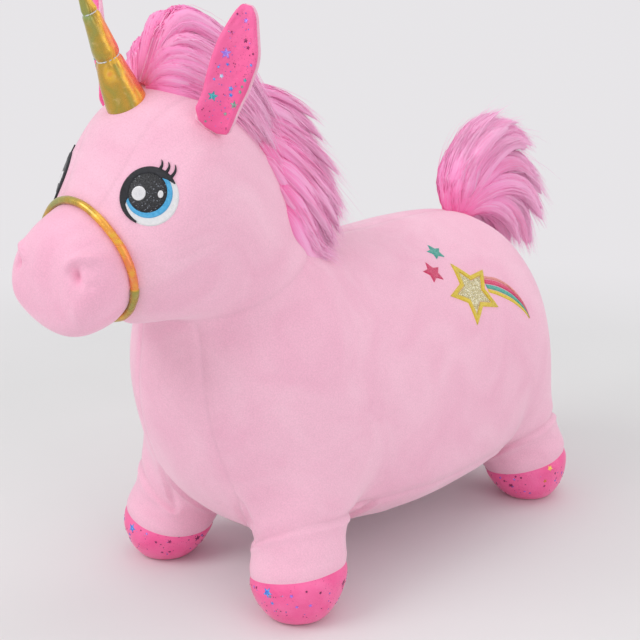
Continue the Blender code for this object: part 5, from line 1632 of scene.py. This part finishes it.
def lock_bodies(name, locks, random):
    """The full body of each lock, with combed ridges."""
    count = len(locks.paths)
    rows = np.linspace(0, 1, LOCK_ROWS)
    turn = -np.arange(LOCK_SIDES) * math.tau / LOCK_SIDES
    place, side, out = locks.at(np.arange(count)[:, None], np.broadcast_to(rows, (count, LOCK_ROWS)))
    under = (np.arange(count) % 3 == 0)[:, None]
    widths = locks.widths[:, None] * np.where(under, 1.9, 1.15)
    place = place - out * (widths * np.where(under, 0.30, 0.0))[..., None]
    phase = random.uniform(0, math.tau, (count, 1, 1, 2))
    drift = rows[None, :, None] * 1.6
    ridge = 1 + 0.10 * np.cos(4 * turn + phase[..., 0] + drift) + 0.07 * np.cos(7 * turn + phase[..., 1] - drift)
    size = (widths * lock_profile(rows))[:, :, None] * ridge
    across = (np.cos(turn) * size)[..., None] * side[:, :, None]
    rise = (np.sin(turn) * size * LOCK_FLATNESS)[..., None] * out[:, :, None]
    mesh, loops = swept_mesh(name, place[:, :, None] + across + rise)
    shares = np.broadcast_to(rows[None, :, None], (count, LOCK_ROWS, LOCK_SIDES))
    set_attribute(mesh, "along", shares.ravel())
    set_attribute(mesh, "tint", np.repeat(locks.tints, LOCK_ROWS * LOCK_SIDES))
    around = np.broadcast_to(np.abs(turn / math.pi + 1.0)[None, None], shares.shape).ravel()
    owner = np.repeat(np.arange(count), LOCK_ROWS * LOCK_SIDES)
    set_uv(mesh, "UVMap", np.stack([around + owner * 3.1, shares.ravel()], axis=1)[loops])
    return new_object(name, mesh, "fur_body")


def lock_strands(name, locks, random):
    """Fine flat strands over the locks, some of them stray."""
    count = STRANDS
    share_of = locks.widths / locks.widths.sum()
    lock = random.choice(len(locks.paths), count, p=share_of)[:, None]
    angle = math.pi / 2 + random.normal(0, 0.90, (count, 1))
    reach = STRAND_SPREAD * random.uniform(0.80, 1.0, (count, 1))
    share = np.linspace(0, 1, STEPS)[None] * random.uniform(0.70, LOCK_REACH, (count, 1))
    place, side, out = locks.at(lock, share)
    size = locks.widths[lock] * np.maximum(lock_profile(share), 0.12) * reach
    aside = side * np.cos(angle)[..., None]
    round_out = aside + out * np.sin(angle)[..., None]
    paths = place + (aside + out * (np.sin(angle) * LOCK_FLATNESS)[..., None]) * size[..., None]
    stray = np.where(random.uniform(size=(count, 1, 1)) < STRAY_SHARE, STRAY_WANDER, 1.0)
    paths += random.normal(size=(count, 1, 3)) * STRAND_WANDER * stray * (share ** 1.6)[..., None]
    along = unit(np.gradient(paths, axis=1))
    other = unit(round_out + out * 0.3)
    other = unit(other - along * (other * along).sum(axis=-1, keepdims=True))
    helper = np.cross(other, along)
    thin = random.uniform(0.00030, 0.00056, (count, 1)) * np.where(stray[..., 0] > 1, 0.6, 1.0)
    steps = np.linspace(0, 1, STEPS)
    radius = thin * ((1 - steps ** 2.2) * np.minimum(1.0, 0.6 + steps) + 0.08)
    turn = random.uniform(-0.35, 0.35, (count, 1, 1)) + np.array((0.25, math.pi - 0.25, 1.5 * math.pi))
    deep = np.array((1.0, 1.0, 0.7))[:, None]
    own = (helper[:, :, None] * np.cos(turn)[..., None] + other[:, :, None] * np.sin(turn)[..., None]) * deep
    mesh, loops = swept_mesh(name, paths[:, :, None] + own * radius[:, :, None, None])
    mesh.shade_flat()
    set_attribute(mesh, "along", np.repeat(np.clip(share, 0, 1).ravel(), 3))
    hair = np.clip(locks.tints[lock[:, 0]] + random.normal(0, 0.17, count), 0, 1)
    set_attribute(mesh, "tint", np.repeat(hair, STEPS * 3))
    cells = int(math.ceil(math.sqrt(count)))
    owner, within = loops // (STEPS * 3), loops % (STEPS * 3)
    u = (owner % cells + 0.15 + 0.7 * (within // 3) / (STEPS - 1)) / cells
    v = (owner // cells + 0.2 + 0.3 * (within % 3)) / cells
    set_uv(mesh, "OFBake", np.stack([u, v], axis=1))
    return new_object(name, mesh, "fur")


def fur_pieces(name, locks, body, node, random):
    """The bodies and the strands of some locks, riding on a body for a node."""
    finish_piece(lock_bodies("fur_body_" + name, locks, random), body, "fur", node)
    finish_piece(lock_strands("fur_" + name, locks, random), body, "fur", node)


def outside(paths, skin, least):
    """Keeps the paths of locks this far outside the skin beyond their roots."""
    for lock in range(paths.shape[0]):
        for step in range(1, paths.shape[1]):
            point = Vector(paths[lock, step])
            place, normal = skin.nearest(point)
            high = (point - place).dot(normal)
            want = least * min(1.0, step / 4)
            if high < want:
                paths[lock, step] = point + normal * (want - high)
    return paths


def lock_shares():
    return np.linspace(0, LOCK_REACH, LOCK_POINTS)


def through(rows, share):
    """Points at shares along soft curves through evenly spaced rows (curve, row, value)."""
    last = rows.shape[1] - 1
    where = np.clip(share, 0, 1) * last
    low = np.clip(where.astype(int), 0, last - 1)
    t = (where - low)[None, :, None]
    before = rows[:, np.maximum(low - 1, 0)]
    here, there = rows[:, low], rows[:, low + 1]
    after = rows[:, np.minimum(low + 2, last)]
    soft = 0.5 * (2 * here + (there - before) * t + (2 * before - 5 * here + 4 * there - after) * t ** 2
                  + (3 * here - before - 3 * there + after) * t ** 3)
    beyond = np.clip(share - 1, 0, None)[None, :, None] * last
    return soft + (rows[:, -1] - rows[:, -2])[:, None] * beyond


def neck_ridge(skin, share, across):
    """A place on the back of the neck, from the crown (0) to the withers (1), and its normal."""
    middle = head_place(0.15, 0.35)
    top = head_place(0.0, 1.0) - middle
    low = trunk_place(-0.145, 1.0) - middle
    angle = math.atan2(top.y, top.z) + (math.atan2(low.y, low.z) - math.atan2(top.y, top.z)) * share
    outward = Vector((0.0, math.sin(angle), math.cos(angle)))
    place, _ = skin.hit(middle, outward)
    return skin.hit(place + Vector((across, 0, 0)) + outward * 0.06, -outward)


# Share down the neck: half width sewn, stand-off, length, backward and downward parts of its fall
MANE_RUN = (
    (0.00, 0.040, 0.034, 0.092, 0.90, 0.26),
    (0.25, 0.049, 0.036, 0.090, 0.66, 0.62),
    (0.50, 0.055, 0.034, 0.078, 0.56, 0.80),
    (0.75, 0.058, 0.026, 0.062, 0.60, 0.72),
    (1.00, 0.054, 0.018, 0.048, 0.76, 0.56),
)
MANE_END = 0.84
MANE_LEAN = ((-0.006, 0.006), (-0.004, 0.006), (-0.008, 0.0))


def mane(skin):
    """Fur sewn down the back of the neck, combed back and down in locks."""
    run = np.array(MANE_RUN)
    shares = lock_shares()
    for side, word in SIDES:
        random = np.random.default_rng(40 + side)
        paths, outward = [], []
        for number in range(MANE_LOCKS):
            down = ((number % MANE_COLUMNS) + random.uniform(-0.4, 0.4)) / (MANE_COLUMNS - 1)
            down = min(1.0, max(-0.06, down)) * MANE_END
            out = ((number // MANE_COLUMNS) + random.uniform(0.0, 0.9)) / (MANE_LOCKS // MANE_COLUMNS - 0.1)
            out = min(1.0, out)
            half, lift, length, back, fall = [np.interp(down / MANE_END, run[:, 0], run[:, k]) for k in range(1, 6)]
            root, normal = neck_ridge(skin, down, side * out * half)
            way = Vector((side * (0.06 + 0.10 * out), back, -fall))
            way = (way - normal * normal.dot(way)).normalized()
            stand = lift * (1 - 0.80 * out ** 1.6) * random.uniform(0.75, 1.15)
            reach = length * random.uniform(0.80, 1.10)
            lean = Vector([random.uniform(*reach_of) for reach_of in MANE_LEAN])
            fanned = Vector((side * 0.5 * out, 0.5, 0.35))
            points, ways = [], []
            for share in shares:
                bow = 1 - max(0.0, 1 - share) ** 2.4
                point = root - normal * 0.002 + normal * stand * bow + way * reach * share ** 1.2 + lean * share ** 2
                points.append(tuple(point))
                ways.append(tuple((normal * (1 - 0.5 * share) + fanned * share).normalized()))
            paths.append(points)
            outward.append(ways)
        widths = random.uniform(0.0058, 0.0088, MANE_LOCKS)
        paths = outside(np.array(paths), skin, 0.0026)
        locks = Locks(paths, np.array(outward), widths, random.uniform(0.28, 0.72, MANE_LOCKS))
        fur_pieces(f"mane_{word}", locks, "toy", "mane_fur", random)


FORELOCK_FAN = math.radians(82)
FORELOCK_REACH, FORELOCK_SIDE_REACH = 0.116, 0.042
FORELOCK_HEIGHT, FORELOCK_SIDE_HEIGHT = 0.052, 0.038


def forelock(skin):
    """Fur gathered behind the horn and combed back over the crown in a high dome, with a few stray hairs."""
    random = np.random.default_rng(51)
    foot = neck_place(0.0, HORN_FOOT_AHEAD, HORN_FOOT_RISE)
    gather = Vector((0.0, foot.y + 0.016, 0.0))
    shares = lock_shares()
    paths = []
    middle = np.array((0.0, gather.y + 0.055, BACK_HEIGHT + 0.100))
    columns = FORELOCK_COLUMNS
    for number in range(FORELOCK_LOCKS):
        turn = FORELOCK_FAN * (2 * ((number % columns) + random.uniform(0.1, 0.9)) / columns - 1)
        layer = (number // columns + random.uniform(0.0, 0.9)) / (FORELOCK_LOCKS // columns)
        side_share = abs(turn) / FORELOCK_FAN
        reach = (FORELOCK_REACH - FORELOCK_SIDE_REACH * side_share) * random.uniform(0.84, 1.06)
        high = layer ** 0.7 * (FORELOCK_HEIGHT - FORELOCK_SIDE_HEIGHT * side_share ** 1.5) * random.uniform(0.88, 1.10)
        points = []
        for share in shares:
            run = reach * share
            heading = turn * (1.0 - 0.62 * min(1.0, share * 1.1))
            x = math.sin(turn) * run * (1 - 0.34 * share) + random.uniform(-0.0004, 0.0004)
            y = gather.y + math.cos(heading) * run
            x += math.copysign(0.006, turn) * (1 - share) * side_share
            place, _ = skin.hit((x, y, 0.6), (0, 0, -1))
            rise = high * (1 - max(0.0, 1 - share * 3.0) ** 2.0) - 0.008 * share ** 2.2 * layer
            points.append(tuple(place + Vector((0, 0, 0.0015 + rise))))
        paths.append(points)
    paths = np.array(paths)
    # Each path is evened out, because the crown falls away unevenly below it
    for _ in range(3):
        paths[:, 1:-1] = (paths[:, :-2] + 2 * paths[:, 1:-1] + paths[:, 2:]) / 4
    outward = unit(paths - middle)
    widths = random.uniform(0.0054, 0.0082, FORELOCK_LOCKS)
    locks = Locks(outside(paths, skin, 0.0024), outward, widths, random.uniform(0.28, 0.75, FORELOCK_LOCKS))
    fur_pieces("forelock", locks, "toy", "forelock_fur", random)


# The tail's fan from front to rear: (back, up) at five places along, as shares of the tail's reach
TAIL_FAN = (
    ((0.00, 0.00), (-0.06, 0.17), (-0.02, 0.33), (0.10, 0.46), (0.25, 0.54)),
    ((0.00, 0.00), (0.01, 0.24), (0.12, 0.44), (0.29, 0.58), (0.48, 0.64)),
    ((0.01, 0.00), (0.10, 0.25), (0.31, 0.45), (0.56, 0.54), (0.77, 0.46)),
    ((0.03, 0.00), (0.18, 0.21), (0.43, 0.35), (0.69, 0.33), (0.92, 0.15)),
    ((0.04, 0.00), (0.23, 0.14), (0.50, 0.19), (0.76, 0.10), (0.96, -0.13)),
    ((0.06, -0.01), (0.25, 0.07), (0.46, 0.06), (0.64, -0.08), (0.74, -0.32)),
    ((0.06, -0.03), (0.21, 0.01), (0.37, -0.04), (0.51, -0.16), (0.58, -0.30)),
)
TAIL_REACH = 0.144
TAIL_SPREAD = 0.036


def tail(skin):
    """Fur that springs from the rump in a fan: up, over and down."""
    random = np.random.default_rng(61)
    root, _ = skin.hit((0.0, TRUNK_SET_BACK + TAIL_ROOT_BEHIND, 0.6), (0, 0, -1))
    fan = np.array(TAIL_FAN)
    shares = lock_shares()
    columns = TAIL_COLUMNS
    numbers = np.arange(TAIL_LOCKS)
    along = (numbers % columns + random.uniform(0, 1, TAIL_LOCKS)) / columns * (len(fan) - 1.001)
    across = ((numbers // columns + random.uniform(0.1, 0.9, TAIL_LOCKS)) / (TAIL_LOCKS // columns)) * 2 - 1
    low = along.astype(int)
    part = (along - low)[:, None, None]
    rows = fan[low] * (1 - part) + fan[low + 1] * part
    rows = rows * TAIL_REACH * (random.uniform(0.88, 1.06, TAIL_LOCKS) * (1 - 0.14 * across ** 2))[:, None, None]
    flat = through(rows, shares)
    centre = through(fan[3:4] * TAIL_REACH * 0.8, shares)
    wide = TAIL_SPREAD * (0.62 + 0.38 * along / len(fan))[:, None]
    spread = across[:, None] * (0.007 + (wide - 0.007) * np.clip(shares, 0, 1) ** 0.8)
    spread += random.uniform(-0.003, 0.003, TAIL_LOCKS)[:, None] * shares
    start = np.array(root) - (0, 0, 0.001)
    paths = start + np.stack([spread, flat[..., 0], flat[..., 1]], axis=-1)
    mass = start + np.stack([np.zeros_like(centre[..., 0]), centre[..., 0], centre[..., 1]], axis=-1)
    away = (paths - mass) * (2.2, 1.0, 1.0)
    outward = unit(away + np.array((0.0, 0.0, 0.004)))
    widths = random.uniform(0.0062, 0.0094, TAIL_LOCKS)
    locks = Locks(paths, outward, widths, random.uniform(0.25, 0.75, TAIL_LOCKS))
    fur_pieces("tail", locks, "tail", "tail_fur", random)


# The zip and what is carried over from the frame

COIL_PITCH = 0.0016
COIL_ROOT, COIL_TIP = (-0.0006, 0.00034), (0.0019, 0.00026)
COIL_HALF_HEIGHT = 0.0007


def bevelled(obj, name, width):
    soft = obj.modifiers.new(name, "BEVEL")
    soft.width = width
    soft.segments = 2
    return soft


def zip_coil():
    """The zip's two rows of meshing coils between the tapes."""
    low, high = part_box("zip_chain")
    points, faces = [], []
    count = int((high.y - low.y) / COIL_PITCH)
    for i in range(count):
        for side in (1, -1):
            y = low.y + (i + 0.5 + (0.25 if side > 0 else -0.25)) * COIL_PITCH
            a = len(points)
            for out, wide in (COIL_ROOT, COIL_TIP):
                for dy, dz in ((-wide, -1), (wide, -1), (wide, 1), (-wide, 1)):
                    points.append((side * out, y + dy, (low.z + high.z) / 2 + dz * COIL_HALF_HEIGHT))
            faces += [(a, a + 1, a + 2, a + 3), (a + 4, a + 7, a + 6, a + 5)]
            for j in range(4):
                k = (j + 1) % 4
                faces.append((a + j, a + k, a + 4 + k, a + 4 + j))
    mesh = mesh_from("zip_coil", points, faces)
    fix_normals(mesh)
    obj = new_object("zip_coil", mesh, "zip_plastic")
    bevelled(obj, "round", 0.00015)
    obj.data = evaluated(obj)
    obj.modifiers.clear()
    finish_piece(obj, "toy", "zip_plastic", "zip_chain")


def carried_over():
    """The pieces that are the frame's own, with their materials and broken edges."""
    for node, material, bevel in (
        ("valve_plug", "vinyl", 0.0), ("zip_tape_left", "zip_tape", 0.0), ("zip_tape_right", "zip_tape", 0.0),
        ("zip_slider", "zip_metal", 0.0003), ("zip_pull", "zip_metal", 0.0002),
    ):
        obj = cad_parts[node]
        obj.data.materials.clear()
        obj.data.materials.append(MATERIALS[material])
        if bevel:
            bevelled(obj, "soft_edges", bevel).limit_method = "ANGLE"


# Floor, light and camera

CAMERA_PLACE = (0.7113, -0.7881, 0.5069)
CAMERA_TURN = (math.radians(90 - 16.1), 0.0, math.radians(43.1))
CAMERA_LENS = 69.8
BACKDROP = (0.80, 0.785, 0.805, 1.0)
AMBIENT = (1.0, 0.95, 0.97, 1.0)
AMBIENT_STRENGTH = 0.66
FLOOR_HALF_WIDTH = 12.0
# Lamps: name, place, size and power, all aimed at the toy's middle
LAMPS = (
    ("key", (-0.55, -1.75, 1.65), 1.3, 17.6), ("fill", (1.9, -0.2, 0.9), 1.4, 6.0),
    ("top", (0.2, 0.4, 2.2), 1.6, 6.2), ("rear", (1.0, 1.6, 1.2), 1.2, 2.6),
)
LAMP_AIM = (0.0, -0.05, 0.22)


def floor_paper():
    """Pale paper that keeps the shadow and runs into the backdrop's colour away from the object."""
    s = Shade("floor_paper", Roughness=0.75, Specular_IOR_Level=0.2)
    mottle = s.noise(3.0, 2.0)
    s.colour(s.mix(s.range(mottle, 0.3, 0.7), (0.760, 0.785, 0.778), (0.785, 0.810, 0.803)))
    away = s.add("VectorMath", {0: s.place()}, operation="LENGTH").outputs["Value"]
    far = s.add("MapRange", {"Value": away, "From Min": 0.50, "From Max": 1.15}, interpolation_type="SMOOTHSTEP")
    share = s.math("MULTIPLY", far.outputs["Result"], s.seen_straight())
    glow = s.add("Emission", {"Color": BACKDROP, "Strength": 1.0})
    both = s.add("MixShader", {0: share, 1: s.shader.outputs[0], 2: glow.outputs[0]})
    s.tree.links.new(both.outputs[0], s.tree.nodes["Material Output"].inputs["Surface"])
    return s.material


def backdrop_world():
    """Plain ambient light, seen as the pale backdrop."""
    world = bpy.context.scene.world or bpy.data.worlds.new("studio")
    bpy.context.scene.world = world
    world.use_nodes = True
    s = Nodes(world.node_tree)
    light = s.tree.nodes["Background"]
    light.inputs[0].default_value = AMBIENT
    light.inputs[1].default_value = AMBIENT_STRENGTH
    paper = s.add("Background", {0: BACKDROP})
    both = s.add("MixShader", {0: s.seen_straight(), 1: light.outputs[0], 2: paper.outputs[0]})
    s.tree.links.new(both.outputs[0], s.tree.nodes["World Output"].inputs["Surface"])


def studio():
    """Floor, backdrop, lamps and the camera that stands as the photo's did."""
    size = FLOOR_HALF_WIDTH
    floor = bpy.data.meshes.new("floor")
    floor.from_pydata([(-size, -size, 0), (size, -size, 0), (size, size, 0), (-size, size, 0)], [], [(0, 1, 2, 3)])
    floor.materials.append(floor_paper())
    obj = linked("floor", floor)
    backdrop_world()
    for name, place, size, power in LAMPS:
        lamp = bpy.data.lights.new(name, "AREA")
        lamp.energy = power
        lamp.size = size
        obj = linked(name, lamp)
        obj.location = place
        obj.rotation_mode = "QUATERNION"
        obj.rotation_quaternion = (Vector(LAMP_AIM) - Vector(place)).to_track_quat("-Z", "Y")
    camera = bpy.data.cameras.new("camera")
    camera.lens = CAMERA_LENS
    camera.sensor_width = 36.0
    camera.clip_start = 0.02
    camera.clip_end = 60.0
    obj = linked("camera", camera)
    obj.location = CAMERA_PLACE
    obj.rotation_euler = CAMERA_TURN
    bpy.context.scene.camera = obj
    bpy.context.scene.view_settings.view_transform = "Standard"


COVER = Cover(smooth_form(SMOOTH_LEVELS))
dress(COVER)
SKIN = Skin(COVER.tree(COVER.faces))
cover_pieces(COVER)
inner_bladder(COVER)
horn()
noseband(COVER)
ears(SKIN)
for flank, flank_word in ((1, "left"), (-1, "right")):
    eye(SKIN, flank, flank_word)
    motif(SKIN, flank, flank_word)
hoof_stars(COVER)
mane(SKIN)
forelock(SKIN)
tail(SKIN)
zip_coil()
carried_over()
studio()
